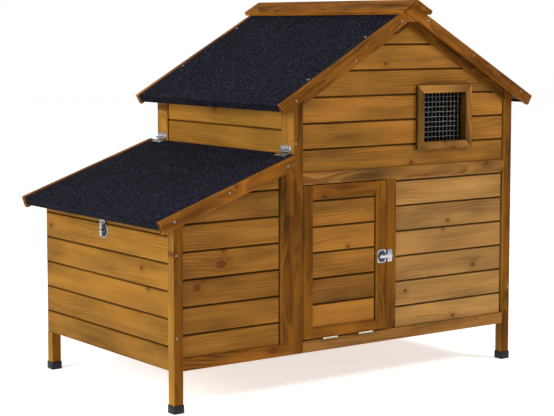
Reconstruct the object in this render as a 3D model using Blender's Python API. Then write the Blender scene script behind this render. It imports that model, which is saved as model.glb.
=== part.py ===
# Rabbit hutch: a gabled house with a drop-down front door and a wire window, and a lean-to nest box
# with a lift-up felted lid. Metres, +Z up. The front gable wall faces -Y, the nest box is on the -X
# side, the ridge runs along Y, and Z = 0 is the ground under the four foot caps.
import math

import bmesh
import bpy
from mathutils import Matrix, Vector

# ---------------------------------------------------------------- driving dimensions
WIDTH = 1.060            # outer face of nest legs to outer face of house legs
DEPTH = 0.615            # front face to back face of the legs
HOUSE_X = 0.340          # left face of the house posts, from the nest's outer face
LEG = 0.025              # square legs
POST_X, POST_Y = 0.029, 0.050    # house posts on the nest side
RAIL_Z, RAIL_H = 0.098, 0.029    # bottom rails
MID_Z, MID_H = 0.508, 0.029      # rail over the door
BOARD_Y = 0.006          # boards stand this far behind the frame's face
BOARD_T = 0.012
GROOVE_W, GROOVE_D = 0.0055, 0.0042
PITCH = 0.0642           # cover of one board
PITCH_GABLE = 0.0628
GAP = 0.0003

RIDGE_X, RIDGE_Z = 0.699, 0.942  # where the top lines of the two rake boards meet
ROOF_DEG = 29.76
ROOF_HALF = 0.415        # ridge to eave tip, level
RAKE_W, RAKE_T = 0.028, 0.013
ROOF_OVER = 0.022        # front face of the rake boards in front of the wall
FELT_N = (0.0018, 0.0040)        # felt, measured square to the slope down from the rake's top line
DECK_N = (0.0043, 0.0163)
GRAIL_N = (0.0166, 0.0470)       # sloping rail of the gable frame
CAP_T, CAP_W, CAP_OVER = 0.011, 0.051, 0.034

LID_DEG = 19.12
LID_X0, LID_Z0 = -0.055, 0.452   # low tip of the lid's rake boards, top corner
LID_X1 = 0.334
LID_RAKE_W, LID_RAKE_T, LID_OVER = 0.031, 0.014, 0.030
LID_AXIS = (0.3365, 0.5902)      # X and Z of the hinge pins

DOOR_X0, DOOR_X1 = 0.3712, 0.6290
DOOR_Z0, DOOR_Z1 = 0.1300, 0.5055
DOOR_STILE, DOOR_TOP, DOOR_BOTTOM, DOOR_T = 0.028, 0.030, 0.026, 0.020
DOOR_AXIS = (-0.0037, 0.1285)    # Y and Z of the hinge pins
DIVIDER = (0.632, 0.662)

WIN = (0.749, 0.894, 0.595, 0.7195)   # window opening: X from, to, Z from, to
WIN_FRAME = 0.0195
MESH_PITCH, MESH_WIRE = 0.0127, 0.0012

FLOOR_Z, FLOOR_T = 0.1275, 0.009
HOLE = (0.200, 0.420, 0.150, 0.400)   # passage between nest and house: Y from, to, Z from, to

CAP_FOOT_H, CAP_FOOT_WALL = 0.020, 0.0022

# The part's own frame: X = 0 and Y = 0 at the middle of its box.
OX = -((LID_X0 + RIDGE_X + ROOF_HALF) / 2)
OY = -DEPTH / 2
SHIFT = Vector((OX, OY, 0.0))

# ---------------------------------------------------------------- scene, collections, materials
for o in list(bpy.data.objects):
    bpy.data.objects.remove(o)
parts = bpy.data.collections.new("rabbit_hutch")
cutters = bpy.data.collections.new("rabbit_hutch_cutters")
bpy.context.scene.collection.children.link(parts)
bpy.context.scene.collection.children.link(cutters)

LOOKS = {
    "pine_leg": ((0.22, 0.105, 0.028), 0.55, 0.0),
    "pine_board": ((0.33, 0.165, 0.045), 0.55, 0.0),
    "pine_side": ((0.40, 0.215, 0.062), 0.55, 0.0),
    "pine_trim": ((0.27, 0.125, 0.030), 0.55, 0.0),
    "ply": ((0.36, 0.22, 0.10), 0.70, 0.0),
    "felt": ((0.022, 0.022, 0.030), 0.95, 0.0),
    "foot": ((0.02, 0.02, 0.022), 0.45, 0.0),
    "zinc": ((0.62, 0.63, 0.65), 0.35, 1.0),
    "wire": ((0.50, 0.51, 0.53), 0.40, 1.0),
}


def material(node, look):
    """A material of the node's own: colour, roughness, metallic."""
    colour, rough, metal = LOOKS[look]
    m = bpy.data.materials.new("m_" + node)
    m.use_nodes = True
    b = m.node_tree.nodes["Principled BSDF"]
    b.inputs["Base Color"].default_value = (*colour, 1.0)
    b.inputs["Roughness"].default_value = rough
    b.inputs["Metallic"].default_value = metal
    return m


# ---------------------------------------------------------------- building helpers
def finish(name, mesh, look, origin=None):
    """Puts a mesh given in layout coordinates into the scene, its origin at the given point."""
    if origin is None:
        lo = Vector([min(v.co[i] for v in mesh.vertices) for i in range(3)])
        hi = Vector([max(v.co[i] for v in mesh.vertices) for i in range(3)])
        origin = (lo + hi) / 2
    origin = Vector(origin)
    mesh.transform(Matrix.Translation(-origin))
    mesh.name = name
    ob = bpy.data.objects.new(name, mesh)
    ob.location = origin + SHIFT
    if look is None:
        cutters.objects.link(ob)
        ob.hide_render = True
        ob.display_type = "WIRE"
    else:
        parts.objects.link(ob)
        ob.data.materials.clear()
        ob.data.materials.append(material(name, look))
    return ob


def box_mesh(boxes):
    """One mesh of separate boxes (x0, x1, y0, y1, z0, z1)."""
    bm = bmesh.new()
    for x0, x1, y0, y1, z0, z1 in boxes:
        m = Matrix.Translation(((x0 + x1) / 2, (y0 + y1) / 2, (z0 + z1) / 2))
        m = m @ Matrix.Diagonal((x1 - x0, y1 - y0, z1 - z0, 1.0))
        bmesh.ops.create_cube(bm, size=1.0, matrix=m)
    me = bpy.data.meshes.new("box")
    bm.to_mesh(me)
    bm.free()
    return me


def prism_mesh(outlines, axis, a, b):
    """Flat outlines pushed along an axis from a to b. Outline points are (X, Z) for axis Y,
    (Y, Z) for axis X and (X, Y) for axis Z."""
    cu = bpy.data.curves.new("outline", "CURVE")
    cu.dimensions = "2D"
    cu.fill_mode = "BOTH"
    cu.extrude = abs(b - a) / 2
    for pts in outlines:
        sp = cu.splines.new("POLY")
        sp.points.add(len(pts) - 1)
        for p, (u, v) in zip(sp.points, pts):
            p.co = (u, v, 0.0, 1.0)
        sp.use_cyclic_u = True
    ob = bpy.data.objects.new("outline", cu)
    parts.objects.link(ob)
    dg = bpy.context.evaluated_depsgraph_get()
    me = bpy.data.meshes.new_from_object(ob.evaluated_get(dg))
    bpy.data.objects.remove(ob)
    mid = (a + b) / 2
    if axis == "Y":
        m = Matrix(((1, 0, 0, 0), (0, 0, -1, mid), (0, 1, 0, 0), (0, 0, 0, 1)))
    elif axis == "X":
        m = Matrix(((0, 0, 1, mid), (1, 0, 0, 0), (0, 1, 0, 0), (0, 0, 0, 1)))
    else:
        m = Matrix.Translation((0, 0, mid))
    me.transform(m)
    bm = bmesh.new()
    bm.from_mesh(me)
    bmesh.ops.remove_doubles(bm, verts=bm.verts, dist=1e-6)
    bmesh.ops.recalc_face_normals(bm, faces=bm.faces)
    bm.to_mesh(me)
    bm.free()
    me.materials.clear()
    return me


def cylinder_mesh(rods, segments=24):
    """One mesh of separate cylinders (start, end, radius)."""
    bm = bmesh.new()
    for p, q, r in rods:
        p, q = Vector(p), Vector(q)
        turn = (q - p).to_track_quat("Z", "Y").to_matrix().to_4x4()
        bmesh.ops.create_cone(bm, cap_ends=True, segments=segments, radius1=r, radius2=r,
                              depth=(q - p).length, matrix=Matrix.Translation((p + q) / 2) @ turn)
    me = bpy.data.meshes.new("rod")
    bm.to_mesh(me)
    bm.free()
    return me


def boolean(ob, mesh, operation="DIFFERENCE"):
    """Cuts the mesh from, or joins it to, the object."""
    cutter = finish("cut_" + ob.name, mesh, None)
    m = ob.modifiers.new(operation.lower(), "BOOLEAN")
    m.operation = operation
    m.solver = "EXACT"
    m.object = cutter
    return ob


def box(name, look, x0, x1, y0, y1, z0, z1, origin=None):
    return finish(name, box_mesh([(x0, x1, y0, y1, z0, z1)]), look, origin)


def prism(name, look, pts, axis, a, b, origin=None):
    return finish(name, prism_mesh([pts], axis, a, b), look, origin)


def groove_outline(face, inward, z):
    """V groove across a board face: the face's coordinate, the sign of the way in, its height."""
    e = 0.001
    w = GROOVE_W / 2 * (1 + e / GROOVE_D)
    return [(face - inward * e, z - w), (face + inward * GROOVE_D, z), (face - inward * e, z + w)]


def groove_y(ob, face, inward, x0, x1, zs):
    """Level V grooves on a wall whose face is at Y = face."""
    boolean(ob, prism_mesh([groove_outline(face, inward, z) for z in zs], "X", x0 - 0.002, x1 + 0.002))


def groove_x(ob, face, inward, y0, y1, zs):
    """Level V grooves on a wall whose face is at X = face."""
    boolean(ob, prism_mesh([groove_outline(face, inward, z) for z in zs], "Y", y0 - 0.002, y1 + 0.002))


def levels(first, pitch, low, high):
    """Groove heights first + k * pitch that lie inside (low, high)."""
    ks = range(-20, 21)
    return [first + k * pitch for k in ks if low + 0.006 < first + k * pitch < high - 0.006]


ROOF_M, ROOF_C = math.tan(math.radians(ROOF_DEG)), math.cos(math.radians(ROOF_DEG))
ROOF_S = math.sin(math.radians(ROOF_DEG))
LID_M, LID_C = math.tan(math.radians(LID_DEG)), math.cos(math.radians(LID_DEG))
LID_S = math.sin(math.radians(LID_DEG))


def roof_z(x, n):
    """Height of the main roof's line that lies n below the rake's top line, square to the slope."""
    return RIDGE_Z - n / ROOF_C - ROOF_M * abs(x - RIDGE_X)


def roof_pt(side, run, n):
    """Point (X, Z) on that line at a level run from the ridge, moved square to the slope."""
    return (RIDGE_X + side * (run - n * ROOF_S), RIDGE_Z - ROOF_M * run - n * ROOF_C)


def lid_z(x, n):
    return LID_Z0 + LID_M * (x - LID_X0) - n / LID_C


def lid_pt(run, n):
    """Point (X, Z) n under the lid's top line, square to it, at a level run from its low tip."""
    return (LID_X0 + run + n * LID_S, LID_Z0 + LID_M * run - n * LID_C)


# ---------------------------------------------------------------- legs and foot caps
FOOT_IN = 0.0030         # thickness under the leg's end
leg_spots = {
    "nest_front": (0.0, 0.0),
    "nest_back": (0.0, DEPTH - LEG),
    "house_front": (WIDTH - LEG, 0.0),
    "house_back": (WIDTH - LEG, DEPTH - LEG),
}
for spot, (x, y) in leg_spots.items():
    if spot.startswith("nest"):
        top = [(x + LEG, lid_z(x, DECK_N[1]) - 0.001), (x, lid_z(x, DECK_N[1]) - 0.001)]
    else:
        top = [(x + LEG, roof_z(x + LEG, DECK_N[1] + GAP)), (x, roof_z(x, DECK_N[1] + GAP))]
    foot = FOOT_IN + GAP
    prism("leg_" + spot, "pine_leg", [(x, foot), (x + LEG, foot), *top], "Y", y, y + LEG)
    w = CAP_FOOT_WALL
    cap = box("foot_" + spot, "foot", x - w, x + LEG + w, y - w, y + LEG + w, 0.0, CAP_FOOT_H)
    g = GAP
    boolean(cap, box_mesh([(x - g, x + LEG + g, y - g, y + LEG + g, FOOT_IN, CAP_FOOT_H + 0.01)]))

# ---------------------------------------------------------------- house posts, nest stile, rails
post_x1 = HOUSE_X + POST_X
for name, y0 in (("post_front", 0.0), ("post_back", DEPTH - POST_Y)):
    n = DECK_N[1] + GAP
    prism(name, "pine_leg", [(HOUSE_X, RAIL_Z), (post_x1, RAIL_Z), (post_x1, roof_z(post_x1, n)),
                             (HOUSE_X, roof_z(HOUSE_X, n))], "Y", y0, y0 + POST_Y)
stile_x0, stile_x1 = 0.306, HOUSE_X - GAP
rail_top = RAIL_Z + RAIL_H
prism("nest_stile", "pine_leg", [(stile_x0, rail_top + GAP), (stile_x1, rail_top + GAP),
                                 (stile_x1, lid_z(stile_x1, DECK_N[1]) - 0.001),
                                 (stile_x0, lid_z(stile_x0, DECK_N[1]) - 0.001)], "Y", 0.0, LEG)
in_x0, in_x1 = post_x1 + GAP, WIDTH - LEG - GAP
box("nest_rail_front", "pine_trim", LEG + GAP, stile_x1, 0.0, LEG, RAIL_Z, rail_top)
box("rail_bottom_front", "pine_trim", in_x0, in_x1, 0.0, LEG, RAIL_Z, rail_top)
box("rail_middle_front", "pine_trim", in_x0, in_x1, 0.0, LEG, MID_Z, MID_Z + MID_H)
box("divider", "pine_leg", *DIVIDER, 0.0, BOARD_Y + BOARD_T, rail_top + GAP, MID_Z - GAP)
for side, x_end in ((-1, in_x0), (1, in_x1)):
    x_in = RIDGE_X + side * GAP / 2
    pts = [(x_in, roof_z(x_in, GRAIL_N[0])), (x_in, roof_z(x_in, GRAIL_N[1])),
           (x_end, roof_z(x_end, GRAIL_N[1])), (x_end, roof_z(x_end, GRAIL_N[0]))]
    prism("gable_rail_" + ("left" if side < 0 else "right"), "pine_trim", pts, "Y", 0.0, LEG)

# ---------------------------------------------------------------- boarded walls
by0, by1 = BOARD_Y, BOARD_Y + BOARD_T
# nest front: boards stop short of the stile, where a rebate leaves a dark shadow gap
z0 = rail_top + GAP
x0, x1 = LEG + GAP, stile_x0 - GAP
ob = prism("nest_boards_front", "pine_board",
           [(x0, z0), (x1, z0), (x1, lid_z(x1, DECK_N[1]) - 0.001), (x0, lid_z(x0, DECK_N[1]) - 0.001)],
           "Y", by0, by1)
groove_y(ob, by0, 1, x0, x1, levels(0.180, PITCH, z0, lid_z(x1, DECK_N[1])))
boolean(ob, box_mesh([(x1 - 0.005, x1 + 0.01, by0 - 0.01, by0 + 0.007, z0 - 0.01, 0.60)]))
# nest side: boards flush between the legs
zt = lid_z(0.0015, DECK_N[1]) - 0.001
y0, y1 = LEG + GAP, DEPTH - LEG - GAP
ob = box("nest_boards_side", "pine_side", 0.0015, 0.0015 + BOARD_T, y0, y1, RAIL_Z, zt)
groove_x(ob, 0.0015, 1, y0, y1, levels(0.154, PITCH, RAIL_Z, zt))
# nest back
x0, x1 = LEG + GAP, HOUSE_X - GAP
ob = prism("nest_boards_back", "pine_board",
           [(x0, RAIL_Z), (x1, RAIL_Z), (x1, lid_z(x1, DECK_N[1]) - 0.001),
            (x0, lid_z(x0, DECK_N[1]) - 0.001)], "Y", DEPTH - 0.0015 - BOARD_T, DEPTH - 0.0015)
groove_y(ob, DEPTH - 0.0015, -1, x0, x1, levels(0.154, PITCH, RAIL_Z, 0.57))
# house front, right of the door
x0, x1, z0, z1 = DIVIDER[1] + GAP, in_x1, rail_top + GAP, MID_Z - GAP
ob = box("boards_front_right", "pine_board", x0, x1, by0, by1, z0, z1)
groove_y(ob, by0, 1, x0, x1, levels(0.180, PITCH, z0, z1))
boolean(ob, box_mesh([(x1 - 0.006, x1 + 0.01, by0 - 0.01, by0 + 0.007, z0 - 0.01, z1 + 0.01)]))
# front gable, with the window opening
z0 = MID_Z + MID_H + GAP
n = GRAIL_N[1] + GAP
ob = prism("boards_gable", "pine_board",
           [(in_x0, z0), (in_x1, z0), (in_x1, roof_z(in_x1, n)), (RIDGE_X, roof_z(RIDGE_X, n)),
            (in_x0, roof_z(in_x0, n))], "Y", by0, by1)
groove_y(ob, by0, 1, in_x0, in_x1, levels(0.592, PITCH_GABLE, z0, roof_z(RIDGE_X, n) - 0.01))
boolean(ob, box_mesh([(WIN[0], WIN[1], by0 - 0.02, by1 + 0.02, WIN[2], WIN[3])]))
# wall between nest and house, which shows above the lid, with the passage
px0 = HOUSE_X + 0.004
zt = roof_z(px0, DECK_N[1]) - 0.001
y0, y1 = POST_Y + GAP, DEPTH - POST_Y - GAP
ob = box("boards_nest_side_of_house", "pine_side", px0, px0 + BOARD_T, y0, y1, RAIL_Z, zt)
groove_x(ob, px0, 1, y0, y1, levels(0.6394, PITCH, RAIL_Z, zt))
boolean(ob, box_mesh([(px0 - 0.02, px0 + 0.04, HOLE[0], HOLE[1], HOLE[2], HOLE[3])]))
# right wall, flush between the legs, and back wall
rx1 = WIDTH - 0.0015
zt = roof_z(rx1, DECK_N[1]) - 0.001
y0, y1 = LEG + GAP, DEPTH - LEG - GAP
ob = box("boards_right", "pine_side", rx1 - BOARD_T, rx1, y0, y1, RAIL_Z, zt)
groove_x(ob, rx1, -1, y0, y1, levels(0.154, PITCH, RAIL_Z, zt))
n = DECK_N[1] + 0.001
bk1 = DEPTH - 0.004
ob = prism("boards_back", "pine_board",
           [(in_x0, RAIL_Z), (in_x1, RAIL_Z), (in_x1, roof_z(in_x1, n)), (RIDGE_X, roof_z(RIDGE_X, n)),
            (in_x0, roof_z(in_x0, n))], "Y", bk1 - BOARD_T, bk1)
groove_y(ob, bk1, -1, in_x0, in_x1, levels(0.154, PITCH, RAIL_Z, roof_z(RIDGE_X, n) - 0.01))

# ---------------------------------------------------------------- floors, notched round the posts
fx0, fx1 = px0 + BOARD_T + GAP, rx1 - BOARD_T - GAP
fy0, fy1 = by1 + 0.0025, bk1 - BOARD_T - GAP
fz0, fz1 = FLOOR_Z, FLOOR_Z + FLOOR_T
ob = box("floor_house", "ply", fx0, fx1, fy0, fy1, fz0, fz1)
g = 0.001
boolean(ob, box_mesh([
    (fx0 - g, post_x1 + g, fy0 - g, POST_Y + g, fz0 - g, fz1 + g),
    (fx0 - g, post_x1 + g, DEPTH - POST_Y - g, fy1 + g, fz0 - g, fz1 + g),
    (WIDTH - LEG - g, fx1 + g, fy0 - g, LEG + g, fz0 - g, fz1 + g),
    (WIDTH - LEG - g, fx1 + g, DEPTH - LEG - g, fy1 + g, fz0 - g, fz1 + g)]))
nx0, nx1 = 0.0015 + BOARD_T + GAP, HOUSE_X - GAP
ny0, ny1 = by1 + 0.0025, DEPTH - 0.0015 - BOARD_T - GAP
ob = box("floor_nest", "ply", nx0, nx1, ny0, ny1, fz0, fz1)
boolean(ob, box_mesh([
    (nx0 - g, LEG + g, ny0 - g, LEG + g, fz0 - g, fz1 + g),
    (nx0 - g, LEG + g, DEPTH - LEG - g, ny1 + g, fz0 - g, fz1 + g),
    (stile_x0 - g, nx1 + g, ny0 - g, LEG + g, fz0 - g, fz1 + g)]))

# ---------------------------------------------------------------- window
wx0, wx1, wz0, wz1 = WIN
f = WIN_FRAME
ob = box("window_frame", "pine_trim", wx0 - f, wx1 + f, by0 - GAP - 0.010, by0 - GAP, wz0 - f, wz1 + f)
boolean(ob, box_mesh([(wx0, wx1, by0 - 0.03, by0 + 0.03, wz0, wz1)]))
mesh_nx, mesh_nz = 12, 10
cx, cz = (wx0 + wx1) / 2, (wz0 + wz1) / 2
half_x = (mesh_nx * MESH_PITCH + MESH_WIRE) / 2
half_z = (mesh_nz * MESH_PITCH + MESH_WIRE) / 2
my0 = by1 + GAP
ob = box("window_mesh", "wire", cx - half_x, cx + half_x, my0, my0 + MESH_WIRE, cz - half_z, cz + half_z)
holes = []
for i in range(mesh_nx):
    for k in range(mesh_nz):
        hx = cx - half_x + MESH_WIRE + i * MESH_PITCH
        hz = cz - half_z + MESH_WIRE + k * MESH_PITCH
        side = MESH_PITCH - MESH_WIRE
        holes.append((hx, hx + side, my0 - 0.003, my0 + 0.004, hz, hz + side))
boolean(ob, box_mesh(holes))

# ---------------------------------------------------------------- main roof
deck_y0, deck_y1 = -ROOF_OVER + RAKE_T + GAP, DEPTH + ROOF_OVER - RAKE_T - GAP
FELT_WRAP = 0.0022
for side in (-1, 1):
    name = "left" if side < 0 else "right"
    x_in = RIDGE_X + side * GAP / 2
    run = ROOF_HALF - 0.003
    pts = [(x_in, roof_z(x_in, DECK_N[0])), (x_in, roof_z(x_in, DECK_N[1])),
           roof_pt(side, run, DECK_N[1]), roof_pt(side, run, DECK_N[0])]
    prism("roof_deck_" + name, "ply", pts, "Y", deck_y0, deck_y1)
run = ROOF_HALF - 0.003
edge_in, edge_out = GAP / ROOF_C, (GAP + FELT_WRAP) / ROOF_C


def felt_side(side):
    """Outer points of the felt from the ridge to the eave, round the deck's edge and back."""
    outer = [roof_pt(side, run + edge_out, FELT_N[0]), roof_pt(side, run + edge_out, DECK_N[1] - 0.001)]
    inner = [roof_pt(side, run + edge_in, DECK_N[1] - 0.001), roof_pt(side, run + edge_in, FELT_N[1])]
    return outer + inner


left, right = felt_side(-1), felt_side(1)
pts = [(RIDGE_X, roof_z(RIDGE_X, FELT_N[0])), *right, (RIDGE_X, roof_z(RIDGE_X, FELT_N[1])),
       *reversed(left)]
prism("roof_felt", "felt", pts, "Y", deck_y0, deck_y1)

# rake boards: the right one runs past the ridge and is cut level below, the left one butts to it
tip = ROOF_HALF
butt_x, level_z = RIDGE_X - 0.0223, 0.8995
for end, y0, y1 in (("front", -ROOF_OVER, -ROOF_OVER + RAKE_T),
                    ("back", DEPTH + ROOF_OVER - RAKE_T, DEPTH + ROOF_OVER)):
    x_low = RIDGE_X + (roof_z(RIDGE_X, RAKE_W) - level_z) / ROOF_M
    pts = [(butt_x, level_z), (x_low, level_z), roof_pt(1, tip, RAKE_W), roof_pt(1, tip, 0.0),
           (RIDGE_X, RIDGE_Z), (butt_x, roof_z(butt_x, 0.0))]
    prism("rake_right_" + end, "pine_trim", pts, "Y", y0, y1)
    xb = butt_x - GAP
    pts = [(xb, roof_z(xb, RAKE_W)), (xb, roof_z(xb, 0.0)), roof_pt(-1, tip, 0.0),
           roof_pt(-1, tip, RAKE_W)]
    prism("rake_left_" + end, "pine_trim", pts, "Y", y0, y1)
for side in (-1, 1):
    x_in = RIDGE_X + side * GAP / 2
    run_cap = CAP_W * ROOF_C
    n0, n1 = -GAP, -GAP - CAP_T
    pts = [(x_in, roof_z(x_in, n1)), roof_pt(side, run_cap, n1), roof_pt(side, run_cap, n0),
           (x_in, roof_z(x_in, n0))]
    prism("ridge_cap_" + ("left" if side < 0 else "right"), "pine_board", pts, "Y",
          -CAP_OVER, DEPTH + CAP_OVER)

# ---------------------------------------------------------------- nest lid (turns about its hinge pins)
lid_o = (LID_AXIS[0], DEPTH / 2, LID_AXIS[1])
ly0, ly1 = -LID_OVER + LID_RAKE_T + GAP, DEPTH + LID_OVER - LID_RAKE_T - GAP
low = 0.003


def lid_end(x, n):
    return (x, lid_z(x, n))


pts = [lid_pt(low, DECK_N[0]), lid_pt(low, DECK_N[1]), lid_end(LID_X1, DECK_N[1]),
       lid_end(LID_X1, DECK_N[0])]
prism("lid_deck", "ply", pts, "Y", ly0, ly1, lid_o)
e_in, e_out = GAP / LID_C, (GAP + FELT_WRAP) / LID_C
pts = [lid_end(LID_X1, FELT_N[0]), lid_end(LID_X1, FELT_N[1]), lid_pt(low - e_in, FELT_N[1]),
       lid_pt(low - e_in, 0.0095), lid_pt(low - e_out, 0.0095), lid_pt(low - e_out, FELT_N[0])]
prism("lid_felt", "felt", pts, "Y", ly0, ly1, lid_o)
for end, y0, y1 in (("front", -LID_OVER, -LID_OVER + LID_RAKE_T),
                    ("back", DEPTH + LID_OVER - LID_RAKE_T, DEPTH + LID_OVER)):
    pts = [lid_pt(0, 0), lid_pt(0, LID_RAKE_W), lid_end(LID_X1, LID_RAKE_W), lid_end(LID_X1, 0)]
    prism("lid_rake_" + end, "pine_trim", pts, "Y", y0, y1, lid_o)

# ---------------------------------------------------------------- door (turns about its hinge pins)
dx0, dx1, dz0, dz1 = DOOR_X0, DOOR_X1, DOOR_Z0, DOOR_Z1
door_o = ((dx0 + dx1) / 2, DOOR_AXIS[0], DOOR_AXIS[1])
sx0, sx1 = dx0 + DOOR_STILE, dx1 - DOOR_STILE
box("door_stile_left", "pine_leg", dx0, sx0, 0.0, DOOR_T, dz0, dz1, door_o)
box("door_stile_right", "pine_leg", sx1, dx1, 0.0, DOOR_T, dz0, dz1, door_o)
box("door_rail_top", "pine_trim", sx0 + GAP, sx1 - GAP, 0.0, DOOR_T, dz1 - DOOR_TOP, dz1, door_o)
box("door_rail_bottom", "pine_trim", sx0 + GAP, sx1 - GAP, 0.0, DOOR_T, dz0, dz0 + DOOR_BOTTOM, door_o)
z0, z1 = dz0 + DOOR_BOTTOM + GAP, dz1 - DOOR_TOP - GAP
ob = box("door_boards", "pine_board", sx0 + GAP, sx1 - GAP, 0.005, 0.016, z0, z1, door_o)
groove_y(ob, 0.005, 1, sx0, sx1, levels(0.2126, 0.0635, z0, z1))


# ---------------------------------------------------------------- butt hinges
def hinge(tag, axis, start, length, pin, fixed_leaf, moving_leaf, look="zinc"):
    """Two leaves on one pin along an axis from start. pin is the pin's (Y, Z) for axis X or its
    (X, Z) for axis Y, and each leaf is an outline round the pin, pushed along it."""
    r, rp, third = 0.0030, 0.0012, length / 3

    def at(t):
        if axis == "X":
            return (start + t, pin[0], pin[1])
        return (pin[0], start + t, pin[1])

    def rods(spans, radius):
        return cylinder_mesh([(at(t0), at(t1), radius) for t0, t1 in spans])

    def pushed(outline, spans):
        pts = [(pin[0] + a, pin[1] + b) for a, b in outline]
        return [prism_mesh([pts], axis, start + t0, start + t1) for t0, t1 in spans]

    square = [(-0.0045, -0.0045), (0.0045, -0.0045), (0.0045, 0.0045), (-0.0045, 0.0045)]
    fixed = finish(tag + "_leaf_fixed", pushed(fixed_leaf, [(0.0, length)])[0], look, at(length / 2))
    for cut in pushed(square, [(third - GAP, 2 * third + GAP)]):
        boolean(fixed, cut)
    boolean(fixed, rods([(0.0, third - GAP), (2 * third + GAP, length)], r), "UNION")
    boolean(fixed, rods([(0.001, length - 0.001)], rp), "UNION")
    moving = finish(tag + "_leaf_moving", pushed(moving_leaf, [(0.0, length)])[0], look, at(length / 2))
    for cut in pushed(square, [(-0.002, third), (2 * third, length + 0.002)]):
        boolean(moving, cut)
    boolean(moving, rods([(third, 2 * third)], r), "UNION")
    boolean(moving, rods([(third - 0.002, 2 * third + 0.002)], rp + GAP))


# door hinges lie along X under the door: a is toward +Y, b is toward +Z from the pin
for tag, hx in (("door_hinge_left", 0.4263), ("door_hinge_right", 0.5385)):
    t = 0.0010
    f0 = rail_top + GAP - DOOR_AXIS[1]
    m1 = DOOR_Z0 - GAP - DOOR_AXIS[1]
    hinge(tag, "X", hx, 0.046, DOOR_AXIS,
          [(-0.0008, f0), (0.0215, f0), (0.0215, f0 + t), (-0.0008, f0 + t)],
          [(-0.0008, m1 - t), (0.0215, m1 - t), (0.0215, m1), (-0.0008, m1)])

# lid hinges lie along Y: the fixed leaf stands on the post, the moving one lies on the felt
for tag, hy in (("lid_hinge_front", 0.0085), ("lid_hinge_back", 0.5690)):
    t = 0.0011
    wall = HOUSE_X - GAP - LID_AXIS[0]
    drop = lid_z(LID_AXIS[0], FELT_N[0]) + GAP / LID_C - LID_AXIS[1]
    run = -0.0185
    up = t / LID_C
    hinge(tag, "Y", hy, 0.044, LID_AXIS,
          [(wall - t, -0.0010), (wall, -0.0010), (wall, 0.0135), (wall - t, 0.0135)],
          [(run, drop + LID_M * run), (0.0, drop), (0.0, drop + up), (run, drop + up + LID_M * run)])

# ---------------------------------------------------------------- latches
# door: plate on the right stile, butterfly key turning on it, strike plate on the divider
key_x, key_z = 0.6165, 0.3150
box("door_latch_plate", "zinc", 0.6012, 0.6288, -0.0018, -GAP, 0.2985, 0.3315, door_o)


def key_outline(c0, c1, length, width, tail, steps=10):
    """Waisted butterfly with round ends, one wing longer to reach over the strike."""
    pts = []
    for end, reach in ((1, length + tail), (-1, length)):
        for i in range(steps + 1):
            a = -math.pi / 2 + math.pi * i / steps
            u = reach - width / 2 + math.cos(a) * width / 2
            pts.append((c0 + end * u, c1 + end * math.sin(a) * width / 2))
        pts.append((c0, c1 + end * width * 0.33))
    return pts


ob = prism("door_latch_key", "zinc", key_outline(key_x, key_z, 0.0125, 0.0095, 0.0115), "Y",
           -0.0076, -0.0056, (key_x, -0.004, key_z))
boolean(ob, cylinder_mesh([((key_x, -0.0021, key_z), (key_x, -0.0092, key_z), 0.0048)]), "UNION")
ob = box("door_strike", "zinc", 0.6335, 0.6485, -0.0018, -GAP, 0.2995, 0.3305)
boolean(ob, box_mesh([(0.6350, 0.6470, -0.0052, -0.0010, 0.3105, 0.3195)]), "UNION")

# nest lid: tab under the lid, hanging in front of the side boards, and a turn key on the boards
tab_y0, tab_y1 = 0.3045, 0.3315
tab_x = -0.0040
lz = DECK_N[1] + GAP
pts = [(tab_x, 0.4080), (tab_x + 0.0015, 0.4080), (tab_x + 0.0015, lid_z(tab_x + 0.0015, lz)),
       (tab_x - 0.026, lid_z(tab_x - 0.026, lz)), (tab_x - 0.026, lid_z(tab_x - 0.026, lz + 0.0015)),
       (tab_x, lid_z(tab_x, lz + 0.0015))]
prism("lid_strike", "zinc", pts, "Y", tab_y0, tab_y1, lid_o)
ky, kz = 0.3180, 0.3930
pts = [(z, y) for y, z in key_outline(kz, ky, 0.0125, 0.0095, 0.0105)]
ob = prism("lid_latch_key", "zinc", pts, "X", -0.0086, -0.0066, (-0.004, ky, kz))
boolean(ob, cylinder_mesh([((0.0012, ky, kz), (-0.0102, ky, kz), 0.0048)]), "UNION")
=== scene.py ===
import math
import random

import bmesh
import bpy
from mathutils import Matrix, Vector, noise


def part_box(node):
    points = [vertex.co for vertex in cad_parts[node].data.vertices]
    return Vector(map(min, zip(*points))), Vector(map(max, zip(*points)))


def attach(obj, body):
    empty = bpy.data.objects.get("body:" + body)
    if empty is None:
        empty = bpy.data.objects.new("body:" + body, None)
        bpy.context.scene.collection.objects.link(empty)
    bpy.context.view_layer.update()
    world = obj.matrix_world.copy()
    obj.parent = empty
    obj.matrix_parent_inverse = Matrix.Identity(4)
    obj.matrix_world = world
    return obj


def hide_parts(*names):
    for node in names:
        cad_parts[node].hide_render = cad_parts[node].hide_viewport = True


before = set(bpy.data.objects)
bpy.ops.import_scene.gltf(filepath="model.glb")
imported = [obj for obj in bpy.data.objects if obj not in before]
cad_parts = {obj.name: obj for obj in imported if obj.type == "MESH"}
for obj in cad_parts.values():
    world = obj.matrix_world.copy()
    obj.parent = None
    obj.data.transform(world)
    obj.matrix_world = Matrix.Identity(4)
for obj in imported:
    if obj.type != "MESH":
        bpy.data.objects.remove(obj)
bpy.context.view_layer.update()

# ---- where things are
# ORIGIN is where the layout's own zero stands in the part frame: outer face of the nest legs, front
# face, ground. Every length below is in metres in that layout, the one the CAD was drawn in.
ORIGIN = Vector((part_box("leg_nest_front")[0].x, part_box("leg_nest_front")[0].y, 0.0))
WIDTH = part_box("leg_house_front")[1].x - ORIGIN.x
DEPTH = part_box("leg_nest_back")[1].y - ORIGIN.y
LEG = 0.025                      # square legs
ROOF_T = math.radians(29.76)     # pitch of the main roof
LID_T = math.radians(19.12)      # pitch of the closed lid
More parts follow.
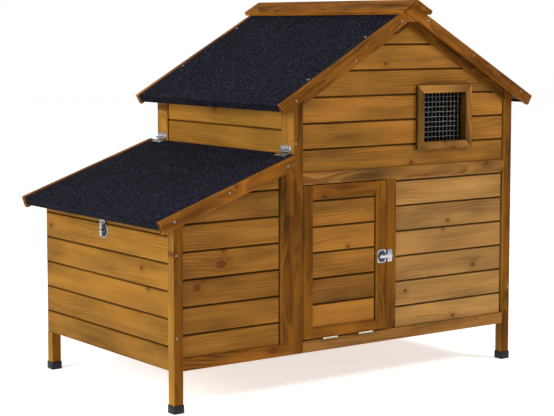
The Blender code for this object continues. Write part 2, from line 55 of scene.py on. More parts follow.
RIDGE = (0.699, 0.942)           # x, z of the rake boards' peak
ROOF_HALF = 0.415                # level run from the peak to a rake's tip
LID_TIP = (-0.055, 0.452)        # x, z of the lid's low tip
LID_X1 = 0.334                   # the lid's end beside the house
# Depths n are square to a slope, under its rake's top line.
FELT_TOP, DECK_UNDER = 0.0020, 0.0163
WIN = (0.749, 0.894, 0.595, 0.7195)       # window opening: x0, x1, z0, z1
PASSAGE = (0.200, 0.420, 0.150, 0.400)    # nest to house: y0, y1, z0, z1
PITCH = 0.0642                   # cover of a wall board
RC, RS = math.cos(ROOF_T), math.sin(ROOF_T)
LC, LS = math.cos(LID_T), math.sin(LID_T)
UP, DOWN = (0, 0, 1), (0, 0, -1)
RIGHT, BACK, FRONT, LEFT = (1, 0, 0), (0, 1, 0), (0, -1, 0), (-1, 0, 0)


def nb(node):
    """A node's box in layout coordinates: x0, x1, y0, y1, z0, z1."""
    lo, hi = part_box(node)
    lo, hi = lo - ORIGIN, hi - ORIGIN
    return lo.x, hi.x, lo.y, hi.y, lo.z, hi.z


def roof_z(x, n):
    """Height of the main roof's plane n at x; lid_z is the same for the lid."""
    return RIDGE[1] - n / RC - math.tan(ROOF_T) * abs(x - RIDGE[0])


def roof_pt(side, run, n):
    """The point at depth n below the top line, a level run out from the ridge."""
    return RIDGE[0] + side * (run - n * RS), RIDGE[1] - math.tan(ROOF_T) * run - n * RC


def lid_z(x, n):
    return LID_TIP[1] + math.tan(LID_T) * (x - LID_TIP[0]) - n / LC


# ---- node building helpers
class Net:
    """Short calls for wiring a new material; an argument is a socket or a plain number."""

    def __init__(self, name):
        self.mat = bpy.data.materials.new(name)
        self.mat.use_nodes = True
        self.tree = self.mat.node_tree
        self.tree.nodes.clear()
        self.bsdf = self.node("BsdfPrincipled")
        self.tree.links.new(self.bsdf.outputs[0], self.node("OutputMaterial").inputs[0])

    def node(self, kind, **settings):
        n = self.tree.nodes.new("ShaderNode" + kind)
        for k, v in settings.items():
            setattr(n, k, v)
        return n

    def put(self, sock, v):
        if isinstance(v, bpy.types.NodeSocket):
            self.tree.links.new(v, sock)
        elif v is not None:
            sock.default_value = v

    def math(self, op, a, b=None, clamp=False):
        n = self.node("Math", operation=op, use_clamp=clamp)
        for s, v in zip(n.inputs, (a, b)):
            self.put(s, v)
        return n.outputs[0]

    def mul(self, a, b):
        return self.math("MULTIPLY", a, b)

    def add(self, a, b):
        return self.math("ADD", a, b)

    def sub(self, a, b):
        return self.math("SUBTRACT", a, b)

    def swing(self, a, gain):
        """A noise moved from around 0.5 to around zero, times gain."""
        return self.mul(self.sub(a, 0.5), gain)

    def step(self, a, lo, hi, t0=0.0, t1=1.0):
        n = self.node("MapRange", interpolation_type="SMOOTHSTEP")
        for k, v in (("Value", a), ("From Min", lo), ("From Max", hi), ("To Min", t0), ("To Max", t1)):
            self.put(n.inputs[k], v)
        return n.outputs[0]

    def band(self, a, rise0, rise1, fall0, fall1):
        return self.mul(self.step(a, rise0, rise1), self.step(a, fall0, fall1, 1.0, 0.0))

    def attr(self, name, out="Fac"):
        return self.node("Attribute", attribute_type="GEOMETRY", attribute_name=name).outputs[out]

    def place(self):
        return self.node("TexCoord").outputs["Object"]

    def xyz(self, v):
        n = self.node("SeparateXYZ")
        self.put(n.inputs[0], v)
        return n.outputs[0], n.outputs[1], n.outputs[2]

    def vec(self, x, y, z=0.0):
        n = self.node("CombineXYZ")
        for s, v in zip(n.inputs, (x, y, z)):
            self.put(s, v)
        return n.outputs[0]

    def noise(self, v, scale=1.0, detail=2.0, rough=0.5, dist=0.0):
        n = self.node("TexNoise")
        self.put(n.inputs["Vector"], v)
        for k, x in (("Scale", scale), ("Detail", detail), ("Roughness", rough), ("Distortion", dist)):
            n.inputs[k].default_value = x
        return n.outputs[0]

    def drawn(self, xyz, sx, sy, sz=None, **kw):
        """Noise stretched by its own frequency per metre on each axis."""
        sizes = (sx, sy, sy if sz is None else sz)
        return self.noise(self.vec(*(self.mul(a, s) for a, s in zip(xyz, sizes))), **kw)

    def mix(self, f, a, b, mode="MIX"):
        n = self.node("Mix", data_type="RGBA", blend_type=mode)
        self.put(n.inputs[0], f)
        for s, v in ((n.inputs[6], a), (n.inputs[7], b)):
            self.put(s, (*v, 1.0) if isinstance(v, tuple) else v)
        return n.outputs[2]

    def stain(self, f, col, rgb):
        """Multiplies a colour by rgb where f is 1."""
        return self.mix(f, col, self.mix(1.0, col, rgb, "MULTIPLY"))

    def gain(self, col, f):
        n = self.node("VectorMath", operation="SCALE")
        self.put(n.inputs[0], col)
        self.put(n.inputs["Scale"], f)
        return n.outputs[0]

    def bump(self, h, strength, distance):
        n = self.node("Bump")
        n.inputs["Strength"].default_value = strength
        n.inputs["Distance"].default_value = distance
        self.put(n.inputs["Height"], h)
        return n.outputs[0]

    def finish(self, **kw):
        """Sets inputs of the shader by name and returns the material."""
        for k, v in kw.items():
            self.put(self.bsdf.inputs[k.replace("_", " ")], v)
        return self.mat


def wood(name, early, late, knots=0.46, contrast=1.0, vary=1.0, joint=0.30):
    """Stained softwood cut from a solid of growth rings. wp is (along the grain, across, from the
    pith outward); edge and endg mark eased edges and end grain, and a third mark picks faces painted
    dark as shade: V joints, rebated strips and shaded sides. knots is the share of places that hold
    one, vary scales the slow tone changes, and joint is the share of the colour left in painted shade."""
    knot, ring_pitch = (0.050, 0.017, 0.0035), 0.0074
    n = Net(name)
    p = n.xyz(n.attr("wp", "Vector"))
    x, y, z = p
    slow = n.drawn(p, 3.4, 12.0, detail=1.5)
    mid = n.drawn(p, 9.0, 48.0)
    # knots: short branches that run out through the thickness, at most one in each cell
    kx, ky = 4.6, 14.0
    vor = n.node("TexVoronoi", voronoi_dimensions="2D")
    vor.inputs["Scale"].default_value = 1.0
    n.put(vor.inputs["Vector"], n.vec(n.mul(x, kx), n.mul(y, ky)))
    qx, qy, _ = n.xyz(vor.outputs["Position"])
    rnd, rnd2, _ = n.xyz(vor.outputs["Color"])
    dx = n.mul(n.sub(x, n.math("DIVIDE", qx, kx)), 0.70)
    dy = n.sub(y, n.math("DIVIDE", qy, ky))
    dist = n.add(n.math("SQRT", n.add(n.mul(dx, dx), n.mul(dy, dy))), n.swing(mid, 0.006))
    has = n.math("GREATER_THAN", rnd, 1.0 - knots)
    size = n.add(n.mul(n.mul(rnd2, rnd2), 0.0046), 0.0025)
    rel = n.math("DIVIDE", dist, size)
    near = n.mul(n.math("EXPONENT", n.mul(n.mul(rel, rel), -0.085)), has)
    # growth rings, bent round the knots, and the finer lines between them
    rad = n.math("SQRT", n.add(n.mul(y, y), n.mul(z, z)))
    rad = n.add(rad, n.add(n.swing(slow, 0.052), n.swing(mid, 0.0044)))
    rad = n.add(rad, n.mul(near, 0.012))
    uneven = n.noise(n.vec(n.mul(rad, 46.0), 3.1, 7.7), detail=1.0)
    turn = n.add(n.math("DIVIDE", rad, ring_pitch), n.mul(uneven, 1.9))
    ring = n.band(n.math("FRACT", turn), 0.10, 0.84, 0.88, 1.0)
    fine = n.band(n.math("FRACT", n.mul(turn, 3.0)), 0.30, 0.85, 0.90, 1.0)
    strong = n.step(n.drawn(p, 5.0, 26.0), 0.36, 0.70, 0.12, 1.0)
    ring = n.mul(ring, strong)
    fibre = n.drawn(p, 16.0, 620.0, detail=3.0, rough=0.62)
    streak = n.drawn(p, 3.6, 105.0, rough=0.55)
    broad = n.drawn(p, 3.4, 26.0)
    hue = n.drawn(p, 5.5, 20.0)
    blotch = n.drawn(p, 6.0, 16.0)
    line = n.add(n.mul(ring, 0.72 * contrast), n.mul(n.mul(fine, strong), 0.16 * contrast))
    col = n.mix(n.math("MULTIPLY", line, 1.0, clamp=True), early, late)
    f = n.add(n.swing(streak, 0.46 * contrast), n.swing(fibre, 0.34 * contrast))
    f = n.add(f, n.add(n.swing(blotch, 0.75 * vary), n.swing(broad, 1.05 * vary)))
    col = n.gain(col, n.add(n.add(f, 1.0), n.mul(n.attr("tone"), 0.16)))
    # the stain bites redder where the wood took more of it, and greener in other places
    col = n.stain(n.step(blotch, 0.52, 0.80, 0.0, 0.45), col, (0.93, 0.76, 0.62))
    col = n.stain(n.step(hue, 0.50, 0.72, 0.0, 0.55), col, (0.90, 0.99, 0.95))
    # knot: warm cloud of stain, dark rim, tighter rings inside
    col = n.stain(n.mul(near, 0.55), col, (0.66, 0.47, 0.36))
    inside = n.mul(n.step(rel, 0.80, 1.06, 1.0, 0.0), has)
    knot_ring = n.step(n.math("FRACT", n.mul(rel, 2.6)), 0.2, 0.9)
    knot_col = n.mix(n.mul(knot_ring, 0.6), tuple(c * 2.3 for c in knot), knot)
    rim = n.mul(n.band(rel, 0.66, 0.98, 1.0, 1.8), has)
    col = n.mix(n.mul(inside, 0.88), col, knot_col)
    col = n.mix(n.mul(rim, 0.66), col, knot)
    rough = n.add(n.swing(fibre, 0.20), n.add(n.mul(ring, 0.07), 0.58))
    # eased arrises lighter, partly as wear and partly as painted highlight; end grain darker; joints and
    # shaded faces darker as painted shade
    edge, endg, groove = n.attr("edge"), n.attr("endg"), n.attr("groove")
    highlight_and_wear = n.mul(edge, n.step(n.drawn(p, 26.0, 90.0), 0.40, 0.66, 0.15, 0.70))
    for f, left in ((highlight_and_wear, 1.50), (n.mul(endg, 0.90), 0.50), (n.mul(groove, 0.94), joint)):
        col = n.mix(f, col, n.gain(col, left))
    h = n.add(n.mul(fibre, 0.5), n.add(n.mul(ring, 0.45), n.mul(streak, 0.4)))
    h = n.add(h, n.mul(inside, 0.6))
    return n.finish(Base_Color=col, Roughness=n.add(rough, n.mul(endg, 0.22)),
                    Normal=n.bump(h, 0.32, 0.0005), Specular_IOR_Level=0.05)


def plywood(name, light, dark):
    n = Net(name)
    p = n.xyz(n.place())
    big = n.drawn(p, 9.0, 1.6, 9.0, detail=3.0, dist=0.6)
    ring = n.band(n.math("FRACT", n.mul(big, 11.0)), 0.2, 0.8, 0.88, 1.0)
    fibre = n.drawn(p, 420.0, 18.0, 420.0, detail=3.0, rough=0.6)
    blot = n.drawn(p, 14.0, 6.0, 14.0)
    col = n.mix(n.mul(ring, 0.55), light, dark)
    col = n.gain(col, n.add(n.add(n.swing(fibre, 0.42), n.swing(blot, 0.55)), 1.0))
    return n.finish(Base_Color=col, Roughness=n.add(n.swing(fibre, 0.2), 0.62),
                    Normal=n.bump(n.add(fibre, n.mul(ring, 0.5)), 0.35, 0.0006), Specular_IOR_Level=0.14)


def felt(name, gain):
    """Mineral-faced roofing felt: dull black with fine crushed-slate grains."""
    n = Net(name)
    o = n.place()
    grain = n.noise(o, 900.0, rough=0.7)
    clump = n.noise(o, 300.0, 3.0, 0.7)
    cloud = n.noise(o, 9.0, 3.0, 0.55)
    patch = n.step(n.noise(o, 150.0, rough=0.75), 0.38, 0.62, 0.45, 1.70)
    vor = n.node("TexVoronoi")
    vor.inputs["Scale"].default_value = 300.0
    n.put(vor.inputs["Vector"], o)
    r0, r1, _ = n.xyz(vor.outputs["Color"])
    fleck = n.mul(n.math("GREATER_THAN", r0, 0.968), n.step(vor.outputs["Distance"], 0.22, 0.50, 1.0, 0.0))
    col = n.mix(n.step(clump, 0.36, 0.66), (0.0022, 0.0022, 0.0042), (0.0135, 0.0138, 0.0235))
    col = n.gain(col, n.mul(n.add(n.mul(r1, 1.3), 0.25), patch))
    col = n.mix(n.mul(n.step(grain, 0.56, 0.74), 0.40), col, (0.044, 0.046, 0.060))
    col = n.mix(n.mul(fleck, 0.70), col, (0.15, 0.15, 0.165))
    col = n.gain(col, n.mul(n.add(n.swing(cloud, 0.60), 1.0), gain))
    h = n.add(n.mul(clump, 1.0), n.add(n.mul(grain, 0.6), n.mul(fleck, 0.5)))
    return n.finish(Base_Color=col, Roughness=n.add(n.mul(clump, 0.16), 0.78),
                    Normal=n.bump(h, 0.55, 0.0007), Specular_IOR_Level=0.05)


def plastic(name):
    n = Net(name)
    o = n.place()
    fine = n.noise(o, 1500.0, rough=0.6)
    scuff = n.noise(o, 60.0, 4.0, 0.62)
    col = n.mix(n.step(scuff, 0.55, 0.75), (0.0045, 0.0047, 0.0075), (0.011, 0.011, 0.015))
    return n.finish(Base_Color=col, Roughness=n.add(n.mul(scuff, 0.22), 0.34),
                    Normal=n.bump(fine, 0.22, 0.0002), Specular_IOR_Level=0.22)


def metal(name, colour, rough, spangle=0.5):
    """Zinc plate: slightly clouded, finely brushed, duller in patches."""
    n = Net(name)
    o = n.place()
    cloud = n.noise(o, 85.0, 3.0, 0.6)
    brush = n.drawn(n.xyz(o), 260.0, 260.0, 2600.0)
    tarnish = n.noise(o, 260.0, 3.0, 0.65)
    col = n.mix(n.mul(n.step(cloud, 0.35, 0.70), spangle), colour, tuple(c * 0.70 for c in colour))
    col = n.mix(n.mul(n.step(tarnish, 0.58, 0.75), 0.35), col, (0.30, 0.29, 0.27))
    return n.finish(Base_Color=col, Metallic=1.0,
                    Roughness=n.add(n.swing(cloud, 0.22), n.add(n.mul(brush, 0.07), rough)),
                    Normal=n.bump(n.add(n.mul(brush, 0.4), tarnish), 0.12, 0.0002))


M_FRAME = wood("w_frame", (0.154, 0.055, 0.0036), (0.064, 0.0195, 0.0014), 0.28, 1.2, 1.5)
# a lighter copy of the frame wood for the posts' faces toward -X: painted light on that side
M_FRAME_PAINTED_LIT = wood("w_frame_painted_lit", (0.243, 0.113, 0.0160), (0.123, 0.049, 0.0061), 0.46, 1.2, 1.5)
M_BOARD = wood("w_board", (0.272, 0.113, 0.0172), (0.125, 0.043, 0.0050), 0.42, 0.75, 1.1)
M_PANEL = wood("w_panel", (0.280, 0.142, 0.0400), (0.132, 0.056, 0.0140), 0.70, 0.75, 1.1)
M_TRIM = wood("w_trim", (0.204, 0.072, 0.0070), (0.090, 0.027, 0.0026), 0.28, 1.3, 2.0)
M_PALE = wood("w_trim_pale", (0.220, 0.099, 0.0210), (0.108, 0.040, 0.0078), 0.46, 1.3, 2.1)
# a darker copy of the board wood for the walls facing -X: painted shade that offsets the strong side lamp
M_SIDE_PAINTED_SHADE = wood("w_side_painted_shade", (0.196, 0.088, 0.0110), (0.096, 0.037, 0.0040), 0.34, 0.62, 1.1, joint=0.46)
M_PLY = plywood("w_ply", (0.33, 0.185, 0.075), (0.20, 0.095, 0.030))
M_DECK = plywood("w_deck", (0.070, 0.031, 0.0085), (0.044, 0.018, 0.0050))
# the second felt is a darker copy for the hem's faces toward -X and +X: painted shade
M_FELT, M_FELT_PAINTED_SHADE = felt("felt", 1.08), felt("felt_hem_painted_shade", 0.55)
M_FOOT = plastic("foot_plastic")
M_ZINC = metal("zinc", (0.50, 0.51, 0.55), 0.24)
M_NAIL = metal("nail", (0.28, 0.27, 0.22), 0.42, 0.7)
M_HINGE = metal("zinc_yellow", (0.40, 0.355, 0.25), 0.36, 0.6)
# a darker copy of the zinc for the lid's tab and plate, which face the side lamp: painted shade
M_ZINC_PAINTED_SHADE = metal("zinc_painted_shade", (0.31, 0.30, 0.30), 0.38, 0.6)
M_WIRE = metal("wire", (0.27, 0.29, 0.30), 0.42, 0.7)
# a near-black sheet for slots and inside latch rims: painted shade, not a colour of the metal
M_PAINTED_SHADE = metal("painted_shade_dark", (0.060, 0.060, 0.070), 0.50, 0.4)

coll = bpy.context.scene.collection


def put(name, bm, mats, body, nodes=(), smooth=34, weighted=True):
    """Turns a bmesh in layout coordinates into a piece that rides on a body. smooth is the angle,
    in degrees, below which edges are shaded smooth."""
    bmesh.ops.translate(bm, verts=bm.verts, vec=ORIGIN)
    me = bpy.data.meshes.new(name)
    bm.to_mesh(me)
    bm.free()
    for mt in (mats if isinstance(mats, (list, tuple)) else [mats]):
        me.materials.append(mt)
    for p in me.polygons:
        p.use_smooth = True
    me.set_sharp_from_angle(angle=math.radians(smooth))
    ob = bpy.data.objects.new(name, me)
    coll.objects.link(ob)
    if weighted:
        w = ob.modifiers.new("normals", "WEIGHTED_NORMAL")
        w.keep_sharp = True
        w.weight = 80
    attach(ob, body)
    if nodes:
        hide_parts(*nodes)
    return ob


# ---- timber
def fresh():
    bm = bmesh.new()
    bm.verts.layers.float_vector.new("wp")
    for k in ("edge", "endg", "groove", "tone"):
        bm.faces.layers.float.new(k)
    return bm


def merge(into, bm):
    me = bpy.data.meshes.new("t")
    bm.to_mesh(me)
    bm.free()
    into.from_mesh(me)
    bpy.data.meshes.remove(me)


def clip(bm, co, no):
    """Keeps the side of a plane that no points away from, and closes the cut."""
    geom = bm.verts[:] + bm.edges[:] + bm.faces[:]
    bmesh.ops.bisect_plane(bm, geom=geom, plane_co=Vector(co), plane_no=Vector(no), clear_outer=True,
                           dist=1e-7)
    open_edges = [e for e in bm.edges if e.is_boundary]
    if open_edges:
        bmesh.ops.holes_fill(bm, edges=open_edges, sides=0)


def axes(origin, x, y):
    """Matrix whose local x and y run along the given directions."""
    x, y = Vector(x).normalized(), Vector(y).normalized()
    z = x.cross(y)
    return Matrix(((x.x, y.x, z.x, origin[0]), (x.y, y.y, z.y, origin[1]),
                   (x.z, y.z, z.z, origin[2]), (0, 0, 0, 1)))


def grow(bm, m, seed, tone):
    """Writes each corner's place in the log it was sawn from, and the board's own tone."""
    r = random.Random(seed)
    across = r.uniform(-0.022, 0.022)
    from_pith = r.uniform(0.018, 0.052)
    t1, t2 = r.uniform(-0.035, 0.035), r.uniform(-0.025, 0.025)
    off = r.uniform(0.0, 12.0)
    wp, lt = bm.verts.layers.float_vector["wp"], bm.faces.layers.float["tone"]
    inv = m.inverted()
    flip = r.choice((-1.0, 1.0))
    for v in bm.verts:
        q = inv @ v.co
        v[wp] = (q.x + off, q.y + across + t2 * q.x, from_pith + flip * q.z + t1 * q.x)
    for f in bm.faces:
        f[lt] = tone + r.uniform(-0.001, 0.001)


def mark_ends(bm, m):
    le = bm.faces.layers.float["endg"]
    d = (m.to_3x3() @ Vector((1, 0, 0))).normalized()
    for f in bm.faces:
        f.normal_update()
        if abs(f.normal.dot(d)) > 0.80:
            f[le] = 1.0


def ease_edges(bm, edges, offset):
    """Rounds edges over and marks the new faces as eased."""
    res = bmesh.ops.bevel(bm, geom=edges, offset=offset, offset_type="OFFSET", segments=2, profile=0.6,
                          affect="EDGES", clamp_overlap=True)
    for f in res["faces"]:
        f[bm.faces.layers.float["edge"]] = 1.0
        f[bm.faces.layers.float["endg"]] = 0.0
        f[bm.faces.layers.float["groove"]] = 0.0


def stick(m, length, width, thick, seed, tone, ease, clips=(), into=None):
    """A sawn length with eased edges: local x along the grain, y across, z out of its face."""
    bm = fresh()
    mm = m @ Matrix.Translation((length / 2, 0, 0)) @ Matrix.Diagonal((length, width, thick, 1.0))
    bmesh.ops.create_cube(bm, size=1.0, matrix=mm)
    for co, no in clips:
        clip(bm, co, no)
    bmesh.ops.remove_doubles(bm, verts=bm.verts, dist=1e-6)
    bmesh.ops.recalc_face_normals(bm, faces=bm.faces)
    mark_ends(bm, m)
    ease_edges(bm, bm.edges[:], ease)
    grow(bm, m, seed, tone)
    if into is None:
        return bm
    merge(into, bm)


V_WIDTH, V_DEPTH, V_GAP, TONGUE = 0.0031, 0.0046, 0.0004, 0.0074    # half a V joint between boards


def tg_board(into, m, length, h0, h1, thick, seed, tone, clips, low_joint, top_joint, shift, dark=False):
    """A tongued and grooved board between heights h0 and h1 (local y), its face at local z = -shift
    and its back at -thick, with half of a V joint along each jointed edge."""
    s = -shift
    lo, hi = [(h0, -thick), (h0, s)], [(h1, s), (h1, -thick)]
    if low_joint:
        lo = [(h0, -thick), (h0, -TONGUE), (h0 + V_GAP, -TONGUE), (h0 + V_GAP, -V_DEPTH), (h0 + V_WIDTH, s)]
    if top_joint:
        hi = [(h1 - V_WIDTH, s), (h1 - V_GAP, -V_DEPTH), (h1 - V_GAP, -TONGUE), (h1, -TONGUE), (h1, -thick)]
    prof = lo + hi
    bm = fresh()
    a, b = [[bm.verts.new(m @ Vector((x, y, z))) for y, z in prof] for x in (0, length)]
    lg = bm.faces.layers.float["groove"]
    for i in range(len(prof)):
        j = (i + 1) % len(prof)
        f = bm.faces.new((a[i], a[j], b[j], b[i]))
        (y0, z0), (y1, z1) = prof[i], prof[j]
        # the V's slopes and the walls of the gap behind it are marked for painted shade
        level = abs(y1 - y0) < 1e-6
        f[lg] = max(abs(z0), abs(z1)) < TONGUE + 1e-5 if level else abs(z1 - z0) > 1e-6
    bm.faces.new(a)
    bm.faces.new(b)
    bmesh.ops.recalc_face_normals(bm, faces=bm.faces)
    for co, no in clips:
        clip(bm, co, no)
    bmesh.ops.recalc_face_normals(bm, faces=bm.faces)
    mark_ends(bm, m)
    # ease the two arrises beside the face
    inv = m.inverted()
    soft = []
    for e in bm.edges:
        p, q = inv @ e.verts[0].co, inv @ e.verts[1].co
        if max(abs(p.z - s), abs(q.z - s), abs(p.y - q.y)) < 1e-6 and abs(p.x - q.x) > 1e-4:
            soft.append(e)
    if soft:
        ease_edges(bm, soft, 0.0006)
    # a dark board is painted as shade on all its faces
    if dark:
        for f in bm.faces:
            f[lg] = 1.0
    grow(bm, m, seed, tone)
    merge(into, bm)


def levels(first, pitch, low, high):
    return [first + k * pitch for k in range(-20, 21) if low + 0.006 < first + k * pitch < high - 0.006]


def board_wall(name, node, mat, out, first, seed, pitch=PITCH, top=None, joints_to=None, back=None,
               gable=None, clips=(), hole=None, body="hutch", tone=0.0, spread=1.0, rebate=0.0, stop=0.0):
    """Level boards over a node's box. out is the wall's outward side and first one joint's height.
    top and back replace the box's own upper and far ends, joints_to ends the joints lower, and
    gable is a depth under both roof slopes to cut to. A rebate thins the far ends beside the upright
    there, and that strip is painted dark as its shadow. A stop is how far short of those ends the joints run."""
    x0, x1, y0, y1, z0, z1 = nb(node)
    z1, y_far = top or z1, back or y1
    if gable:
        clips = [roof_clip(-1, gable), roof_clip(1, gable)]
        z1, joints_to = roof_z(RIDGE[0], gable) - 0.0005, roof_z(RIDGE[0], gable) - 0.01
    along, org, a0, a1, thick = {"-Y": (RIGHT, (x0, y0, 0), x0, x1, y1 - y0),
                                 "+Y": (LEFT, (x1, y1, 0), x0, x1, y1 - y0),
                                 "-X": (FRONT, (x0, y_far, 0), y0, y_far, x1 - x0),
                                 "+X": (BACK, (x1, y0, 0), y0, y1, x1 - x0)}[out]
    m = axes(org, along, UP)
    axis = Vector([abs(v) for v in along])
    cuts = [z0] + levels(first, pitch, z0, joints_to or z1) + [z1]
    bm = fresh()
    for i, (b0, b1) in enumerate(zip(cuts, cuts[1:])):
        r = random.Random(seed * 31 + i)
        board_tone = tone + r.uniform(-1.0, 1.0) * spread
        face = dict(low_joint=i > 0, top_joint=i < len(cuts) - 2, shift=r.uniform(0.0, 0.0004))

        def board(*cut, **how):
            tg_board(bm, m, a1 - a0, b0, b1, thick, seed * 31 + i, board_tone, [*clips, *cut], **how)

        main = []
        # the rebated strip at the far end is set back and painted dark all over, painted shadow of the gap
        if rebate or stop:
            end = axis * (a1 - (rebate or stop))
            board((end, -axis), low_joint=False, top_joint=False, shift=0.007 if rebate else face["shift"],
                  dark=bool(rebate))
            main = [(end, axis)]
        if hole and b1 > hole[2] + 1e-4 and b0 < hole[3] - 1e-4:
            c0, c1, h0, h1 = hole
            board((axis * c0, axis), **face)
            board(*main, (axis * c1, -axis), **face)
            mid = [(axis * c0, -axis), (axis * c1, axis)]
            if b0 < h0 - 1e-4:
                board(*mid, ((0, 0, h0), UP), **face)
            if b1 > h1 + 1e-4:
                board(*mid, ((0, 0, h1), DOWN), **face)
        else:
            board(*main, **face)
    if hole:
        # the hole's upright edges are in shade
        for f in bm.faces:
            f.normal_update()
            c = f.calc_center_median()
            inside = hole[0] - 0.001 < c.dot(axis) < hole[1] + 0.001 and hole[2] < c.z < hole[3]
            if inside and abs(f.normal.dot(axis)) > 0.5:
                f[bm.faces.layers.float["groove"]] = 1.0
    return put(name, bm, mat, body, [node], smooth=24, weighted=False)


def roof_clip(side, n):
    """Plane of the main roof's underside on one side of the ridge; the part above goes."""
    return ((RIDGE[0], 0, roof_z(RIDGE[0], n)), (side * RS, 0, RC))


def lid_clip(n):
    return ((LID_TIP[0], 0, lid_z(LID_TIP[0], n)), (-LS, 0, LC))


UNDER_LID = lid_clip(DECK_UNDER + 0.0009)


def post(name, node, seed, clips=(), tone=0.0, body="hutch", housing=None):
    """An upright from its node's box, grain upward, its face toward -Y. Above the height housing[0] its
    -X side is cut back to x = housing[1]. The faces toward -X take a lighter copy of the frame wood: painted
    light on that side."""
    x0, x1, y0, y1, z0, z1 = nb(node)
    m = axes(((x0 + x1) / 2, (y0 + y1) / 2, z0), UP, LEFT)
    size = (m, z1 - z0, x1 - x0, y1 - y0, seed, tone, 0.0013)
    if housing:
        low, cut = housing
        bm = stick(*size, [((0, 0, low), UP)])
        stick(*size, [*clips, ((0, 0, low), DOWN), ((cut, 0, 0), LEFT)], into=bm)
    else:
        bm = stick(*size, clips)
    for f in bm.faces:
        f.normal_update()
        f.material_index = int(f.normal.x < -0.6)
    put(name, bm, [M_FRAME, M_FRAME_PAINTED_LIT], body, [node])


def rail(name, node, seed, tone, body="hutch", mat=M_TRIM):
    x0, x1, y0, y1, z0, z1 = nb(node)
    m = axes((x0, (y0 + y1) / 2, (z0 + z1) / 2), RIGHT, UP)
    put(name, stick(m, x1 - x0, z1 - z0, y1 - y0, seed, tone, 0.0012), mat, body, [node])


side = nb("nest_boards_side")
for i, (spot, tone) in enumerate((("nest_front", -0.2), ("nest_back", 0.3), ("house_front", 0.1),
                                  ("house_back", 0.0))):
    post("upright_leg_" + spot, "leg_" + spot, 11 + i,
         [UNDER_LID if spot.startswith("nest") else roof_clip(1, DECK_UNDER + 0.0003)], tone,
         housing=(side[4] - 0.0003, side[1] + 0.0002) if spot == "nest_back" else None)
post("upright_post_front", "post_front", 21, [roof_clip(-1, DECK_UNDER + 0.0003)], -0.9)
post("upright_post_back", "post_back", 22, [roof_clip(-1, DECK_UNDER + 0.0003)], 0.2)
post("upright_nest_stile", "nest_stile", 23, [UNDER_LID], 0.3)
post("upright_divider", "divider", 24, tone=0.1)
rail("rail_nest_front", "nest_rail_front", 31, -0.3)
rail("rail_house_bottom", "rail_bottom_front", 32, 0.2, mat=M_PALE)
rail("rail_house_middle", "rail_middle_front", 33, 0.0, mat=M_PALE)


def sloped(name, node, side, n0, n1, y0, y1, x_lo, x_hi, seed, clips, tone, ease=0.0012, body="hutch",
           line=roof_z, ang=ROOF_T):
    """A length lying along a slope between two depths under the rake's top line; side 0 is the lid."""
    c, s = math.cos(ang), math.sin(ang)
    d = Vector((side * c, 0, -s)) if side else Vector((c, 0, s))
    up = Vector((side * s, 0, c)) if side else Vector((-s, 0, c))
    xa = x_hi if side < 0 else x_lo
    start = Vector((xa, (y0 + y1) / 2, line(xa, (n0 + n1) / 2)))
    # cut 40 mm long at each end, then clipped
    m = axes(start - d * 0.04, d, up)
    bm = stick(m, (x_hi - x_lo) / c + 0.08, n1 - n0, y1 - y0, seed, tone, ease, clips)
    put(name, bm, M_TRIM, body, [node])


# the right rail's tone of -2.4 darkens it as painted shade under its rake
for word, side, seed, tone in (("left", -1, 34, -0.9), ("right", 1, 35, -2.4)):
    node = "gable_rail_" + word
    end = nb(node)[side > 0]
    sloped("rail_gable_" + word, node, side, 0.0166, 0.0470, 0.0, LEG, *sorted((end, RIDGE[0])), seed,
           [((RIDGE[0] + side * 0.0002, 0, 0), (-side, 0, 0)), ((end, 0, 0), (side, 0, 0))], tone)

# ---- boarded walls
board_wall("wall_nest_front", "nest_boards_front", M_BOARD, "-Y", 0.180, 101, clips=[UNDER_LID],
           top=lid_z(nb("nest_boards_front")[1], DECK_UNDER) - 0.001, tone=-1.0, rebate=0.005)
board_wall("wall_nest_side", "nest_boards_side", M_SIDE_PAINTED_SHADE, "-X", 0.154, 102, back=DEPTH,
           clips=[UNDER_LID], tone=0.3, stop=0.0035)
board_wall("wall_nest_back", "nest_boards_back", M_BOARD, "+Y", 0.154, 103, joints_to=0.57, clips=[UNDER_LID])
board_wall("wall_front_right", "boards_front_right", M_PANEL, "-Y", 0.180, 104, tone=0.3, rebate=0.006)
board_wall("wall_gable", "boards_gable", M_BOARD, "-Y", 0.592, 105, pitch=0.0628, gable=0.0473,
           hole=WIN, tone=-0.3, rebate=0.004)
board_wall("wall_partition", "boards_nest_side_of_house", M_SIDE_PAINTED_SHADE, "-X", 0.6394, 106, hole=PASSAGE,
           clips=[roof_clip(-1, DECK_UNDER + 0.0006)], tone=1.5)
board_wall("wall_right", "boards_right", M_BOARD, "+X", 0.154, 107, clips=[roof_clip(1, DECK_UNDER + 0.0006)])
board_wall("wall_back", "boards_back", M_BOARD, "+Y", 0.154, 108, gable=DECK_UNDER + 0.001)

